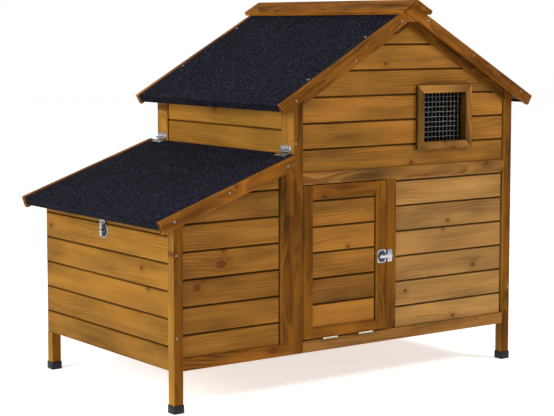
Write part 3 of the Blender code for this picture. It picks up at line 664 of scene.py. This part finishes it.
# ---- rake boards and ridge boards
BUTT = RIDGE[0] - 0.0223         # where the left rakes butt to the right ones
RAKE_FLAT = 0.8995               # height of the level lower cut past the ridge
RAKE_EASE = 0.0026
PEAK = (RIDGE[0], 0, RIDGE[1])
for i, end in enumerate(("front", "back")):
    ya, yc = nb("rake_left_" + end)[2:4]
    (tip_l, z_l), (tip_r, z_r) = roof_pt(-1, ROOF_HALF, 0.0), roof_pt(1, ROOF_HALF, 0.0)
    sloped("rake_left_" + end + "_board", "rake_left_" + end, -1, 0.0, 0.028, ya, yc, RIDGE[0] - ROOF_HALF,
           BUTT, 41 + i, [((BUTT - 0.0003, 0, 0), RIGHT), ((tip_l, 0, z_l), (-RC, 0, -RS))], 0.0, RAKE_EASE)
    # the right board is two lengths: the slope, and the head that runs past the ridge
    bm = fresh()
    d, up = Vector((RC, 0, -RS)), Vector((RS, 0, RC))
    m = axes(Vector((RIDGE[0], (ya + yc) / 2, roof_z(RIDGE[0], 0.0))) - d * 0.08 - up * 0.03, d, up)
    stick(m, 0.62, 0.06, yc - ya, 43 + i, 0.1, RAKE_EASE,
          [((tip_r, 0, z_r), (RC, 0, -RS)), ((BUTT, 0, 0), LEFT), (PEAK, (-RS, 0, RC)),
           ((RIDGE[0], 0, roof_z(RIDGE[0], 0.028)), (-RS, 0, -RC))], bm)
    stick(m, 0.62, 0.12, yc - ya, 43 + i, 0.1, 0.0014,
          [((BUTT, 0, 0), LEFT), (PEAK, (-RS, 0, RC)), (PEAK, (RS, 0, RC)), ((0, 0, RAKE_FLAT), DOWN),
           ((RIDGE[0], 0, roof_z(RIDGE[0], 0.0272)), (RS, 0, RC))], bm)
    put("rake_right_" + end + "_board", bm, M_TRIM, "hutch", ["rake_right_" + end])

CAP_W, CAP_T = 0.051, 0.011
for side, word in ((-1, "left"), (1, "right")):
    y0, y1 = nb("ridge_cap_" + word)[2:4]
    d, up = Vector((side * RC, 0, -RS)), Vector((side * RS, 0, RC))
    cen = Vector((RIDGE[0], y0, RIDGE[1])) + d * (CAP_W / 2) + up * (0.0003 + CAP_T / 2)
    bm = stick(axes(cen, BACK, d * -side), y1 - y0, 0.080, CAP_T, 45 + side, 1.1 + 0.2 * side, 0.0012,
               [((RIDGE[0] + side * 0.00015, 0, 0), (-side, 0, 0)),
                ((RIDGE[0] + d.x * CAP_W, 0, RIDGE[1] + d.z * CAP_W), (d.x, 0, d.z))])
    put("ridge_" + word + "_board", bm, M_TRIM, "hutch", ["ridge_cap_" + word])

# ---- lid boards
for i, end in enumerate(("front", "back")):
    node = "lid_rake_" + end
    sloped(node + "_board", node, 0, 0.0, 0.031, *nb(node)[2:4], LID_TIP[0], LID_X1, 51 + i,
           [((LID_TIP[0], 0, LID_TIP[1]), (-LC, 0, -LS)), ((LID_X1, 0, 0), RIGHT)],
           -0.5, RAKE_EASE, "lid", lid_z, LID_T)

# ---- door
post("door_stile_left_board", "door_stile_left", 61, body="door")
post("door_stile_right_board", "door_stile_right", 62, tone=0.2, body="door")
rail("door_rail_top_board", "door_rail_top", 63, 0.2, "door")
rail("door_rail_bottom_board", "door_rail_bottom", 64, -0.1, "door")
board_wall("door_panel", "door_boards", M_BOARD, "-Y", 0.2126, 110, pitch=0.0635, body="door", tone=-0.6,
           spread=1.8, rebate=0.0055)

# ---- plywood left as CAD
for node in ("roof_deck_left", "roof_deck_right", "lid_deck", "floor_house", "floor_nest"):
    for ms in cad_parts[node].material_slots:
        ms.material = M_PLY if node.startswith("floor") else M_DECK

# ---- small solids
def skin(bm, rings):
    """Faces between neighbouring closed rings of equal length."""
    for a, b in zip(rings, rings[1:]):
        for i in range(len(a)):
            j = (i + 1) % len(a)
            bm.faces.new((a[i], a[j], b[j], b[i]))


def lathe(bm, at, along, prof, seg=20):
    """Turns (radius, height) pairs about an axis through at; the ends close on the axis."""
    q = Vector(along).normalized().to_track_quat("Z", "Y").to_matrix()
    at = Vector(at)
    rings = []
    for r, h in prof:
        turns = [2 * math.pi * i / seg for i in range(seg)] if r > 1e-7 else [0.0]
        rings.append([bm.verts.new(at + q @ Vector((r * math.cos(t), r * math.sin(t), h))) for t in turns])
    for a, b in zip(rings, rings[1:]):
        for i in range(seg):
            j = (i + 1) % seg
            ring = [r[k % len(r)] for r, k in ((a, i), (a, j), (b, j), (b, i))]
            ring = list(dict.fromkeys(ring))
            if len(ring) > 2:
                bm.faces.new(ring)
    for ring in (rings[0], rings[-1]):
        if len(ring) > 2:
            bm.faces.new(ring)


def plate(bm, m, outline, t, ease=0.0003, mat=0, seg=2):
    """A flat outline in local x, y, thickened from z = 0 to t, its upper rim eased."""
    b2 = bmesh.new()
    lo, hi = [[b2.verts.new(m @ Vector((x, y, z))) for x, y in outline] for z in (0.0, t)]
    skin(b2, [lo, hi])
    b2.faces.new(list(reversed(lo)))
    top = b2.faces.new(hi)
    bmesh.ops.recalc_face_normals(b2, faces=b2.faces)
    if ease:
        bmesh.ops.bevel(b2, geom=list(top.edges), offset=ease, offset_type="OFFSET", segments=seg,
                        profile=0.5, affect="EDGES", clamp_overlap=True)
    for f in b2.faces:
        f.material_index = mat
    merge(bm, b2)


def rounded(x0, x1, y0, y1, r, steps=4, corners=(1, 1, 1, 1)):
    """Outline of a rectangle; a corner whose flag is 0 stays sharp."""
    pts = []
    spec = ((x1 - r, y0 + r, -90, x1, y0), (x1 - r, y1 - r, 0, x1, y1), (x0 + r, y1 - r, 90, x0, y1),
            (x0 + r, y0 + r, 180, x0, y0))
    for on, (cx, cy, a0, ex, ey) in zip(corners, spec):
        turns = [math.radians(a0 + 90 * i / steps) for i in range(steps + 1)]
        pts += [(cx + r * math.cos(a), cy + r * math.sin(a)) for a in turns] if on else [(ex, ey)]
    return pts


def screw(bm, at, out, r, turn):
    """A domed screw head whose cross slot is a thin near-black plate on top, painted shade; at is the surface
    it bears on.
    """
    proud = 0.0007
    out = Vector(out).normalized()
    lathe(bm, at, out, [(r * 0.55, -0.0004), (r, 0.0), (r * 0.97, proud * 0.45), (r * 0.72, proud * 0.86),
                        (r * 0.35, proud * 1.0), (0.0, proud * 1.03)])
    q = out.to_track_quat("Z", "Y").to_matrix().to_4x4()
    a, w = r * 0.58, r * 0.13
    cross = [(w, w), (w, a), (-w, a), (-w, w), (-a, w), (-a, -w), (-w, -w), (-w, -a), (w, -a), (w, -w),
             (a, -w), (a, w)]
    m = Matrix.Translation(Vector(at) + out * (proud * 0.80)) @ q @ Matrix.Rotation(turn, 4, "Z")
    plate(bm, m, cross, proud * 0.27, 0.0, 1)


def nail(bm, at, out, r, proud=0.0005):
    lathe(bm, at, out, [(r * 0.9, -0.0005), (r, 0.0), (r, proud * 0.5), (r * 0.86, proud * 0.9),
                        (r * 0.4, proud), (0.0, proud)], 16)


def solid(name, bm, mats, body, nodes=(), smooth=32):
    bmesh.ops.remove_doubles(bm, verts=bm.verts, dist=1e-7)
    bmesh.ops.recalc_face_normals(bm, faces=bm.faces)
    return put(name, bm, mats, body, nodes, smooth, False)


def steel(name, bm, body, nodes=(), mat=M_ZINC):
    solid(name, bm, [mat, M_PAINTED_SHADE], body, nodes)


# ---- foot caps
# The cap's outer wall, rim and inner wall: (inset from its box, height, corner radius).
CAP_RINGS = ((0.0022, 0.0, 0.0030), (0.0008, 0.0005, 0.0032), (0.0, 0.0020, 0.0034), (0.0, 0.0165, 0.0034),
             (0.0001, 0.0188, 0.0034), (0.0007, 0.0200, 0.0030), (0.0016, 0.0200, 0.0024),
             (0.0021, 0.0194, 0.0018), (0.0023, 0.0060, 0.0015))
for spot in ("nest_front", "nest_back", "house_front", "house_back"):
    x0, x1, y0, y1, z0, z1 = nb("foot_" + spot)
    cx, cy, half = (x0 + x1) / 2, (y0 + y1) / 2, (x1 - x0) / 2
    bm = bmesh.new()
    rings = []
    for inset, z, r in CAP_RINGS:
        h = half - inset
        rings.append([bm.verts.new((cx + u, cy + v, z)) for u, v in rounded(-h, h, -h, h, r)])
    skin(bm, rings)
    bm.faces.new(list(reversed(rings[0])))
    bm.faces.new(rings[-1])
    solid("cap_" + spot, bm, M_FOOT, "hutch", ["foot_" + spot], 40)

# ---- window moulding and mesh
x0, x1, y0, y1, z0, z1 = nb("window_frame")
bm = fresh()
fw = WIN[0] - x0
ym = (y0 + y1) / 2
# each length: start, direction, across, length, tone, and its two mitres
MITRED = (((x0, z0 + fw / 2), RIGHT, UP, x1 - x0, 0.0, ((x0, z0, -1, 1), (x1, z0, 1, 1))),
          ((x0, z1 - fw / 2), RIGHT, UP, x1 - x0, 0.4, ((x0, z1, -1, -1), (x1, z1, 1, -1))),
          ((x0 + fw / 2, z0), UP, LEFT, z1 - z0, -1.6, ((x0, z0, 1, -1), (x0, z1, 1, 1))),
          ((x1 - fw / 2, z0), UP, LEFT, z1 - z0, -0.2, ((x1, z0, -1, -1), (x1, z1, -1, 1))))
for i, (org, d, up, length, tone, mitres) in enumerate(MITRED):
    cuts = []
    for x, z, nx, nz in mitres:
        no = Vector((nx, 0, nz)).normalized()
        cuts.append((Vector((x, 0, z)) - no * 0.00012, no))
    stick(axes((org[0], ym, org[1]), d, up), length, fw, y1 - y0, 71 + i, tone, 0.0013, cuts, bm)
# the outer left and lower sides and the right upright's face into the opening are painted dark as shade
lg = bm.faces.layers.float["groove"]
for f in bm.faces:
    f.normal_update()
    c = f.calc_center_median()
    inner = WIN[1] - 0.001 < c.x < WIN[1] + 0.003 and WIN[2] < c.z < WIN[3]
    if abs(f.normal.y) < 0.3 and (c.x < x0 + 0.001 or c.z < z0 + 0.001 or inner):
        f[lg] = 1.0
put("window_moulding", bm, M_PALE, "hutch", ["window_frame"])


def wire(bm, pts, r, seg=8):
    """A round wire through points, with closed ends."""
    rings = []
    for i, p in enumerate(pts):
        d = (Vector(pts[min(i + 1, len(pts) - 1)]) - Vector(pts[max(i - 1, 0)])).normalized()
        a = d.cross(Vector(BACK)).normalized()
        b = d.cross(a)
        rings.append([bm.verts.new(Vector(p) + (a * math.cos(t) + b * math.sin(t)) * r)
                      for t in [2 * math.pi * j / seg for j in range(seg)]])
    skin(bm, rings)
    bm.faces.new(rings[0])
    bm.faces.new(rings[-1])


x0, x1, y0, y1, z0, z1 = nb("window_mesh")
WIRE_R, CELLS_X, CELLS_Z, CELL = 0.00046, 12, 10, 0.0127
bm = bmesh.new()
rr = random.Random(5)
ym = (y0 + y1) / 2
for i in range(CELLS_X + 1):
    x = x0 + WIRE_R + i * CELL
    wire(bm, [(x + rr.uniform(-0.0003, 0.0003), ym - 0.0004 + rr.uniform(-0.0001, 0.0001),
               z0 + (z1 - z0) * k / CELLS_Z) for k in range(CELLS_Z + 1)], WIRE_R)
for k in range(CELLS_Z + 1):
    z = z0 + WIRE_R + k * CELL
    wire(bm, [(x0 + (x1 - x0) * q / CELLS_X, ym + 0.0005 + rr.uniform(-0.0001, 0.0001),
               z + rr.uniform(-0.0003, 0.0003)) for q in range(CELLS_X + 1)], WIRE_R)
solid("window_wires", bm, M_WIRE, "hutch", ["window_mesh"], 60)

# ---- roofing felt
def wave(x, y, k):
    v = (noise.noise(Vector((x * 7.0 + k, y * 5.0, k))) * 0.6
         + noise.noise(Vector((x * 26.0, y * 19.0, k + 3.0))) * 0.4)
    return max(0.0, min(1.0, 0.5 + v))


def felt_piece(name, node, path, inner, body):
    """A sheet along Y. path and inner are its outer and under side across the slope: x, z, the
    direction it may lift in, and how far."""
    y0, y1 = nb(node)[2:4]
    bm = bmesh.new()
    rows, steps = [], 44
    for j in range(steps + 1):
        y = y0 + (y1 - y0) * j / steps
        row = []
        for x, z, nx, nz, lift in path:
            h = lift * wave(x, y, len(name))
            row.append(bm.verts.new((x + nx * h, y, z + nz * h)))
        row += [bm.verts.new((x, y, z)) for x, z, _, _, _ in reversed(inner)]
        rows.append(row)
    skin(bm, rows)
    k = len(rows[0])
    for row in (rows[0], rows[-1]):
        for i in range(k // 2 - 1):
            bm.faces.new((row[i], row[i + 1], row[k - 2 - i], row[k - 1 - i]))
    # faces toward -X and +X take the darker felt, painted shade
    for f in bm.faces:
        f.normal_update()
        f.material_index = int(abs(f.normal.x) > 0.75)
    solid(name, bm, [M_FELT, M_FELT_PAINTED_SHADE], body, [node], 50)


SHEET, LIFT = 0.0021, 0.0008     # thickness of the hanging hem, and how far the sheet lifts
FOLD = [(1 - math.cos(a), 0.0022 * (1 - math.sin(a))) for a in (math.radians(30), math.radians(60))]
HEM_TOP, SHEET_UNDER = 0.0043, 0.0041
R0 = ROOF_HALF - 0.003 + 0.0003 / RC
R1 = R0 + SHEET / RC
outer, under = [], []
for side in (-1, 1):
    o, u = [], []
    nrm, out = (side * RS, RC), (side * RC, -RS)
    for n in (0.0205, 0.0150, 0.0090, 0.0045):
        o.append((*roof_pt(side, R1, n), *out, 0.0))
        u.append((*roof_pt(side, R0, n), *out, 0.0))
    for inward, down in FOLD:
        o.append((*roof_pt(side, R1 - SHEET / RC * inward, FELT_TOP + down), *out, 0.0))
        u.append((*roof_pt(side, R0 - 0.0002, HEM_TOP), *out, 0.0))
    for run in [R1 - 0.0024 / RC] + [R0 - 0.012 - i * (R0 - 0.020) / 26 for i in range(27)]:
        o.append((*roof_pt(side, run, FELT_TOP), *nrm, LIFT if 0.012 < run < R0 - 0.006 else 0.0))
        u.append((*roof_pt(side, min(run, R0 - 0.0004), SHEET_UNDER), *nrm, 0.0))
    if side < 0:
        outer = o + [(RIDGE[0], roof_z(RIDGE[0], 0.0022), 0, 1, 0.0)]
        under = u + [(RIDGE[0], roof_z(RIDGE[0], 0.0042), 0, 1, 0.0)]
    else:
        outer += reversed(o)
        under += reversed(u)
felt_piece("felt_roof", "roof_felt", outer, under, "hutch")


def lid_pt(run, n):
    return (LID_TIP[0] + run + n * LS, LID_TIP[1] + math.tan(LID_T) * run - n * LC)


L0 = 0.003 - 0.0003 / LC
L1 = L0 - SHEET / LC
L_FLAT = L1 + 0.0024 / LC
L_END = LID_X1 - LID_TIP[0] - 0.0020 * LS
outer, under = [], []
for n in (0.0218, 0.0160, 0.0100, 0.0046):
    outer.append((*lid_pt(L1, n), -LC, -LS, 0.0))
    under.append((*lid_pt(L0, n), -LC, -LS, 0.0))
for inward, down in FOLD:
    outer.append((*lid_pt(L1 + SHEET / LC * inward, FELT_TOP + down), -LC, -LS, 0.0))
    under.append((*lid_pt(L0 + 0.0002, HEM_TOP), -LC, -LS, 0.0))
for i in range(30):
    run = L_FLAT + (L_END - L_FLAT) * i / 29
    outer.append((*lid_pt(run, FELT_TOP), -LS, LC, LIFT if 0.010 < run < L_END - 0.03 else 0.0))
    under.append((*lid_pt(max(run, L0 + 0.0004) if i < 29 else L_END - 0.0008, SHEET_UNDER), -LS, LC, 0.0))
felt_piece("felt_lid", "lid_felt", outer, under, "lid")

# ---- hinges
def leaf(name, node, body, mat, m, length, width, fixed, thick, screws, pin_line):
    """One leaf with its knuckles. m is the leaf's plane: local x along the pin, y away from it, z
    out of the leaf. A fixed leaf has the two end knuckles and the pin, a moving one the middle
    knuckle. pin_line is the pin's start and direction."""
    bm = bmesh.new()
    back, near, gap, r = 0.0047, 0.0005, 0.0003, 0.0028
    a, b = length / 3, 2 * length / 3
    if fixed:
        pts = [(0, near), (a - gap, near), (a - gap, back), (b + gap, back), (b + gap, near), (length, near)]
    else:
        pts = [(0, back), (a, back), (a, near), (b, near), (b, back), (length, back)]
    for cx, a0 in ((length - r, 0), (r, 90)):
        turns = [math.radians(a0 + 90 * i / 4) for i in range(5)]
        pts += [(cx + r * math.cos(t), width - r + r * math.sin(t)) for t in turns]
    plate(bm, m, pts, thick, 0.00025)
    for u, v, turn in screws:
        screw(bm, m @ Vector((u, v, thick)), m.to_3x3() @ Vector(UP), 0.0029, turn)
    start, along = Vector(pin_line[0]), Vector(pin_line[1])
    e, hole, barrel, pin = 0.0003, 0.0013, 0.0030, 0.00125
    for t0, t1 in [(0, a - gap), (b + gap, length)] if fixed else [(a, b)]:
        ln = t1 - t0
        lathe(bm, start + along * t0, along, [(hole, 0.0), (barrel - e, 0.0), (barrel, e), (barrel, ln - e),
                                              (barrel - e, ln), (hole, ln)], 26)
    if fixed:
        ln = length - 0.0016
        lathe(bm, start + along * 0.0008, along, [(0.0, -0.0002), (0.0010, 0.0), (pin, e), (pin, ln - e),
                                                  (0.0010, ln), (0.0, ln + 0.0002)], 18)
    steel(name, bm, body, [node], mat)


DOOR_PIN = (-0.0037, 0.1285)     # y, z of the door's pins, and x, z of the lid's
LID_PIN = (0.3365, 0.5902)
for tag in ("left", "right"):
    node = "door_hinge_" + tag + "_leaf_"
    x0, x1 = nb(node + "fixed")[:2]
    pin_line = ((x0, *DOOR_PIN), RIGHT)
    for kind, body, m in (("fixed", "hutch", axes((x0, DOOR_PIN[0], 0.1273), RIGHT, BACK)),
                          ("moving", "door", axes((x1, DOOR_PIN[0], 0.1297), LEFT, BACK))):
        leaf("hinge_door_" + tag + "_" + kind, node + kind, body, M_HINGE, m, x1 - x0, 0.0215,
             kind == "fixed", 0.0009, [], pin_line)
for tag in ("front", "back"):
    node = "lid_hinge_" + tag + "_leaf_"
    _, x1, y0, y1, _, z1 = nb(node + "fixed")
    L, pin_line = y1 - y0, ((LID_PIN[0], y0, LID_PIN[1]), BACK)
    leaf("hinge_lid_" + tag + "_fixed", node + "fixed", "hutch", M_ZINC,
         axes((x1 - 0.0001, y1, LID_PIN[1]), FRONT, UP), L, z1 - LID_PIN[1], True, 0.0010,
         [(0.0085, 0.0085, 0.4), (L - 0.0085, 0.0085, 1.1)], pin_line)
    leaf("hinge_lid_" + tag + "_moving", node + "moving", "lid", M_ZINC,
         axes((LID_PIN[0], y0, lid_z(LID_PIN[0], 0.0018) + 0.0003 / LC), BACK, (-LC, 0, -LS)),
         L, 0.0185 / LC, False, 0.0010,
         [(0.0085, 0.0122, 0.2), (L / 2, 0.0138, 0.9), (L - 0.0085, 0.0122, 0.7)], pin_line)


# ---- latches
def rim(bm, m, x0, x1, y0, y1, r, wall, z_lo, z_hi):
    """A raised rim: a rounded rectangular ring standing on a plate."""
    e = 0.0003
    loops = []
    for k, z in ((0.0, z_lo), (0.0, z_hi - e), (e, z_hi), (wall - e, z_hi), (wall, z_hi - e), (wall, z_lo)):
        pts = rounded(x0 + k, x1 - k, y0 + k, y1 - k, max(r - k, 0.0005), 6)
        loops.append([bm.verts.new(m @ Vector((x, y, z))) for x, y in pts])
    skin(bm, loops + loops[:1])


def front(y):
    """Plane facing the front at y: local x to the right, local y up."""
    return axes((0, y, 0), RIGHT, UP)


x0, x1, y0, y1, z0, z1 = nb("door_latch_plate")
bm = bmesh.new()
plate(bm, front(y1), rounded(x0, x1, z0, z1, 0.0060, 6), 0.0010, 0.0003)
rim(bm, front(y1), x0, x1, z0, z1, 0.0060, 0.0022, 0.0010, y1 - y0)
# a thin near-black sheet inside the rim, painted shade
plate(bm, front(y1 - 0.0010), rounded(x0 + 0.0022, x1 - 0.0022, z0 + 0.0022, z1 - 0.0022, 0.0040, 6),
      0.00006, 0.0, 1)
for i, (u, v) in enumerate(((x0 + 0.0042, z0 + 0.0045), (x0 + 0.0042, z1 - 0.0045),
                            (x1 - 0.0042, z0 + 0.0045), (x1 - 0.0042, z1 - 0.0045))):
    screw(bm, (u, y0 + 0.0004, v), FRONT, 0.0025, 0.3 + i)
steel("latch_door_plate", bm, "door", ["door_latch_plate"])


def butterfly(c0, c1, length, width, tail, steps=10):
    """Outline of a turn key's two wings about its post; one wing is longer by tail."""
    pts = []
    for end, reach in ((1, length + tail), (-1, length)):
        for i in range(steps + 1):
            a = -math.pi / 2 + math.pi * i / steps
            u = reach - width / 2 + math.cos(a) * width / 2
            pts.append((c0 + end * u, c1 + end * math.sin(a) * width / 2))
        pts.append((c0, c1 + end * width * 0.33))
    return pts


def key_post(bm, at, out, heights):
    """The key's post, narrowing to its top over the given heights."""
    lathe(bm, at, out, [(0.0, 0.0), (0.0048, 0.0), *zip((0.0048, 0.0044, 0.0034, 0.0018, 0.0), heights)], 28)


DIMPLE = [(0.0, 0.0), (0.0026, 0.0), (0.0022, 0.0006), (0.0012, 0.0009), (0.0, 0.0010)]
kx, kz = 0.6165, 0.3150
bm = bmesh.new()
plate(bm, front(-0.0056), butterfly(kx, kz, 0.0125, 0.0095, 0.0115), 0.0020, 0.0007, seg=3)
key_post(bm, (kx, -0.0021, kz), FRONT, (0.0058, 0.0064, 0.0068, 0.00705, 0.0071))
for u in (kx - 0.0078, kx + 0.0140):
    lathe(bm, (u, -0.0074, kz), FRONT, DIMPLE)
steel("latch_door_key", bm, "door_key", ["door_latch_key"])

x0, x1, y0, y1, z0, z1 = nb("door_strike")
bm = bmesh.new()
plate(bm, front(-0.0003), rounded(x0, x1, z0, z1, 0.0030), 0.0015, 0.0004)
plate(bm, front(-0.0016), rounded(0.6350, 0.6470, 0.3105, 0.3195, 0.0020), 0.0036, 0.0008, seg=3)
for v, turn in ((z0 + 0.0050, 0.2), (z1 - 0.0050, 1.0)):
    screw(bm, (0.6410, -0.0018, v), FRONT, 0.0026, turn)
steel("latch_door_strike", bm, "hutch", ["door_strike"])

# the lid's bent tab: an upright tongue and the part screwed under the deck
TAB_Y0, TAB_Y1, TAB_X, TAB_T = 0.3045, 0.3315, -0.0040, 0.0015
lz = DECK_UNDER + 0.0003
bm = bmesh.new()
zt = lid_z(TAB_X, lz + TAB_T)
hw = (TAB_Y1 - TAB_Y0) / 2
turns = [math.radians(a) for a in range(-90, 91, 15)]
tongue = [(hw * math.sin(a), 0.4080 + 0.0100 * (1 - math.cos(a))) for a in turns]
plate(bm, axes((TAB_X + TAB_T, (TAB_Y0 + TAB_Y1) / 2, 0), FRONT, UP),
      tongue + [(hw, zt + 0.0008), (-hw, zt + 0.0008)], TAB_T, 0.0004)
f0, inward = Vector((TAB_X + 0.0010, 0.318, lid_z(TAB_X + 0.0010, lz + TAB_T))), (-LC, 0, -LS)
plate(bm, axes(f0, BACK, inward), rounded(-hw, hw, 0.0, 0.0270 / LC, 0.0045, 5, (0, 1, 1, 0)), TAB_T, 0.0)
for dy, turn in ((-0.006, 0.5), (0.006, 1.3)):
    screw(bm, f0 + Vector(inward) * 0.014 + Vector((0, dy, 0)), (LS, 0, -LC), 0.0030, turn)
steel("latch_lid_tab", bm, "lid", ["lid_strike"], M_ZINC_PAINTED_SHADE)

# the lid's turn key on its oval plate
ky, kz = 0.3180, 0.3930
plate_z = kz + 0.0015
bm = bmesh.new()
turns = [math.radians(a) for a in range(0, 360, 10)]
oval = [(0.0210 * math.cos(a), 0.0200 * math.sin(a)) for a in turns]
plate(bm, axes((0.0015, ky, plate_z), FRONT, UP), oval, 0.0016, 0.0006, seg=3)
# a thin near-black oval inside the plate's rim, painted shade
plate(bm, axes((0.0015 - 0.0016, ky, plate_z), FRONT, UP), [(u * 0.80, v * 0.84) for u, v in oval],
      0.00006, 0.0, 1)
for v in (-0.0155, 0.0155):
    screw(bm, (-0.0002, ky, plate_z + v), LEFT, 0.0024, 0.5 + v)
steel("latch_lid_plate", bm, "hutch", mat=M_ZINC_PAINTED_SHADE)
bm = bmesh.new()
plate(bm, axes((-0.0066, 0, 0), FRONT, UP),
      [(-y, z) for z, y in butterfly(kz, ky, 0.0125, 0.0095, 0.0105)], 0.0020, 0.0007, seg=3)
key_post(bm, (0.0012, ky, kz), LEFT, (0.0098, 0.0106, 0.0110, 0.0113, 0.0114))
for v in (kz - 0.0078, kz + 0.0130):
    lathe(bm, (-0.0084, ky, v), LEFT, DIMPLE)
steel("latch_lid_key", bm, "lid_key", ["lid_latch_key"])

# ---- screws, nails and clout nails
bm = bmesh.new()
y_front, y_back = nb("rake_left_front")[2], nb("rake_left_back")[3]
LOW_RAKE = ((0.3327, 0.7125), (0.5134, 0.8057))
for x, z in (*LOW_RAKE, (0.6585, 0.9010), (1.0724, 0.7171), (0.7450, 0.9020), (0.9000, 0.8130)):
    nail(bm, (x, y_front, z), FRONT, 0.0024)
    nail(bm, (2 * RIDGE[0] - x if x < RIDGE[0] else x, y_back, z), BACK, 0.0024)
for x, z in LOW_RAKE:
    nail(bm, (x, y_back, z), BACK, 0.0024)
screw(bm, (0.3474, 0.0, 0.6083), FRONT, 0.0034, 0.4)
screw(bm, (0.3474, DEPTH, 0.6083), BACK, 0.0034, 0.4)
screw(bm, (0.3545, DEPTH, 0.1125), BACK, 0.0030, 0.2)
for x, z in ((0.0075, 0.3687), (0.0079, 0.1772), (WIDTH - 0.0050, 0.1964)):
    screw(bm, (x, 0.0, z), FRONT, 0.0032, z * 9)
    screw(bm, (x, DEPTH, z), BACK, 0.0032, z * 7)
for y, x_left in ((0.0127, 0.0), (DEPTH - 0.0041 - 0.008, nb("nest_boards_side")[0])):
    for z in (0.1065, 0.4050):
        nail(bm, (x_left, y, z), LEFT, 0.0016)
    for z in (0.1065, 0.3650, 0.6650):
        nail(bm, (WIDTH, y, z), RIGHT, 0.0020)
for side in (-1, 1):
    up, down_slope = Vector((side * RS, 0, RC)), Vector((side * RC, 0, -RS))
    for y in (0.0900, DEPTH - 0.0700):
        nail(bm, Vector((RIDGE[0], y, RIDGE[1])) + down_slope * 0.027 + up * 0.0113, up, 0.0024)
steel("fasteners_hutch", bm, "hutch", mat=M_NAIL)

bm = bmesh.new()
y_front, y_back = nb("lid_rake_front")[2], nb("lid_rake_back")[3]
for x, z in ((-0.0150, 0.4505), (0.1352, 0.5063), (0.3021, 0.5597)):
    nail(bm, (x, y_front, z), FRONT, 0.0027)
    nail(bm, (x, y_back, z), BACK, 0.0027)
steel("fasteners_lid", bm, "lid", mat=M_NAIL)

bm = bmesh.new()
rr = random.Random(9)
for side in (-1, 1):
    for y, first in ((0.0035, 0.137), (DEPTH - 0.0030, 0.1026)):
        for run in (first, first + 0.1765):
            x, z = roof_pt(side, run, FELT_TOP)
            nail(bm, (x, y + rr.uniform(-0.002, 0.002), z), (side * RS, 0, RC), 0.0040, 0.0010)
steel("clouts_roof", bm, "hutch")

# ---- stage, light, camera
WHITE = (1.0, 1.0, 1.0, 1.0)
n = Net("floor")
n.finish(Base_Color=n.mix(n.noise(n.place(), 3.0), (0.83, 0.83, 0.83), (0.85, 0.85, 0.85)),
         Roughness=0.9, Specular_IOR_Level=0.1, Emission_Color=WHITE, Emission_Strength=0.60)
bm = bmesh.new()
bmesh.ops.create_grid(bm, x_segments=1, y_segments=1, size=14.0)
me = bpy.data.meshes.new("stage_floor")
bm.to_mesh(me)
bm.free()
me.materials.append(n.mat)
floor = bpy.data.objects.new("stage_floor", me)
coll.objects.link(floor)

# the world is plain white to the camera and a dimmer white as light
AMBIENT = 0.46
world = bpy.data.worlds.new("studio")
bpy.context.scene.world = world
world.use_nodes = True
wt = world.node_tree
lit, seen = wt.nodes["Background"], wt.nodes.new("ShaderNodeBackground")
for bg, power in ((lit, AMBIENT), (seen, 1.0)):
    bg.inputs[0].default_value = WHITE
    bg.inputs[1].default_value = power
path, both = wt.nodes.new("ShaderNodeLightPath"), wt.nodes.new("ShaderNodeMixShader")
wt.links.new(path.outputs["Is Camera Ray"], both.inputs[0])
wt.links.new(lit.outputs[0], both.inputs[1])
wt.links.new(seen.outputs[0], both.inputs[2])
wt.links.new(both.outputs[0], wt.nodes["World Output"].inputs[0])


def area(name, at, look, size, watts):
    light = bpy.data.lights.new(name, "AREA")
    light.shape, light.size, light.size_y, light.energy = "RECTANGLE", size[0], size[1], watts
    ob = bpy.data.objects.new(name, light)
    ob.location = at
    ob.rotation_euler = (Vector(look) - Vector(at)).to_track_quat("-Z", "Y").to_euler()
    coll.objects.link(ob)


area("key", (2.3, -2.9, 2.9), (0.1, 0.0, 0.45), (1.0, 1.0), 90.0)
area("side", (-3.8, -0.5, 1.5), (-0.2, 0.0, 0.45), (2.0, 1.8), 150.0)
bpy.context.scene.view_settings.view_transform = "Standard"

CAM_AT = (-2.4322, -3.3242, 0.8928)
CAM_DOWN, CAM_TURN = 0.095, 0.6288        # radians below level, and clockwise from facing +Y
cam = bpy.data.cameras.new("camera")
cam.sensor_width, cam.lens, cam.shift_y = 36.0, 102.62209, -0.0595668
cam_ob = bpy.data.objects.new("camera", cam)
coll.objects.link(cam_ob)
cam_ob.location = CAM_AT
cam_ob.rotation_euler = (math.pi / 2 - CAM_DOWN, 0.0, -CAM_TURN)
bpy.context.scene.camera = cam_ob
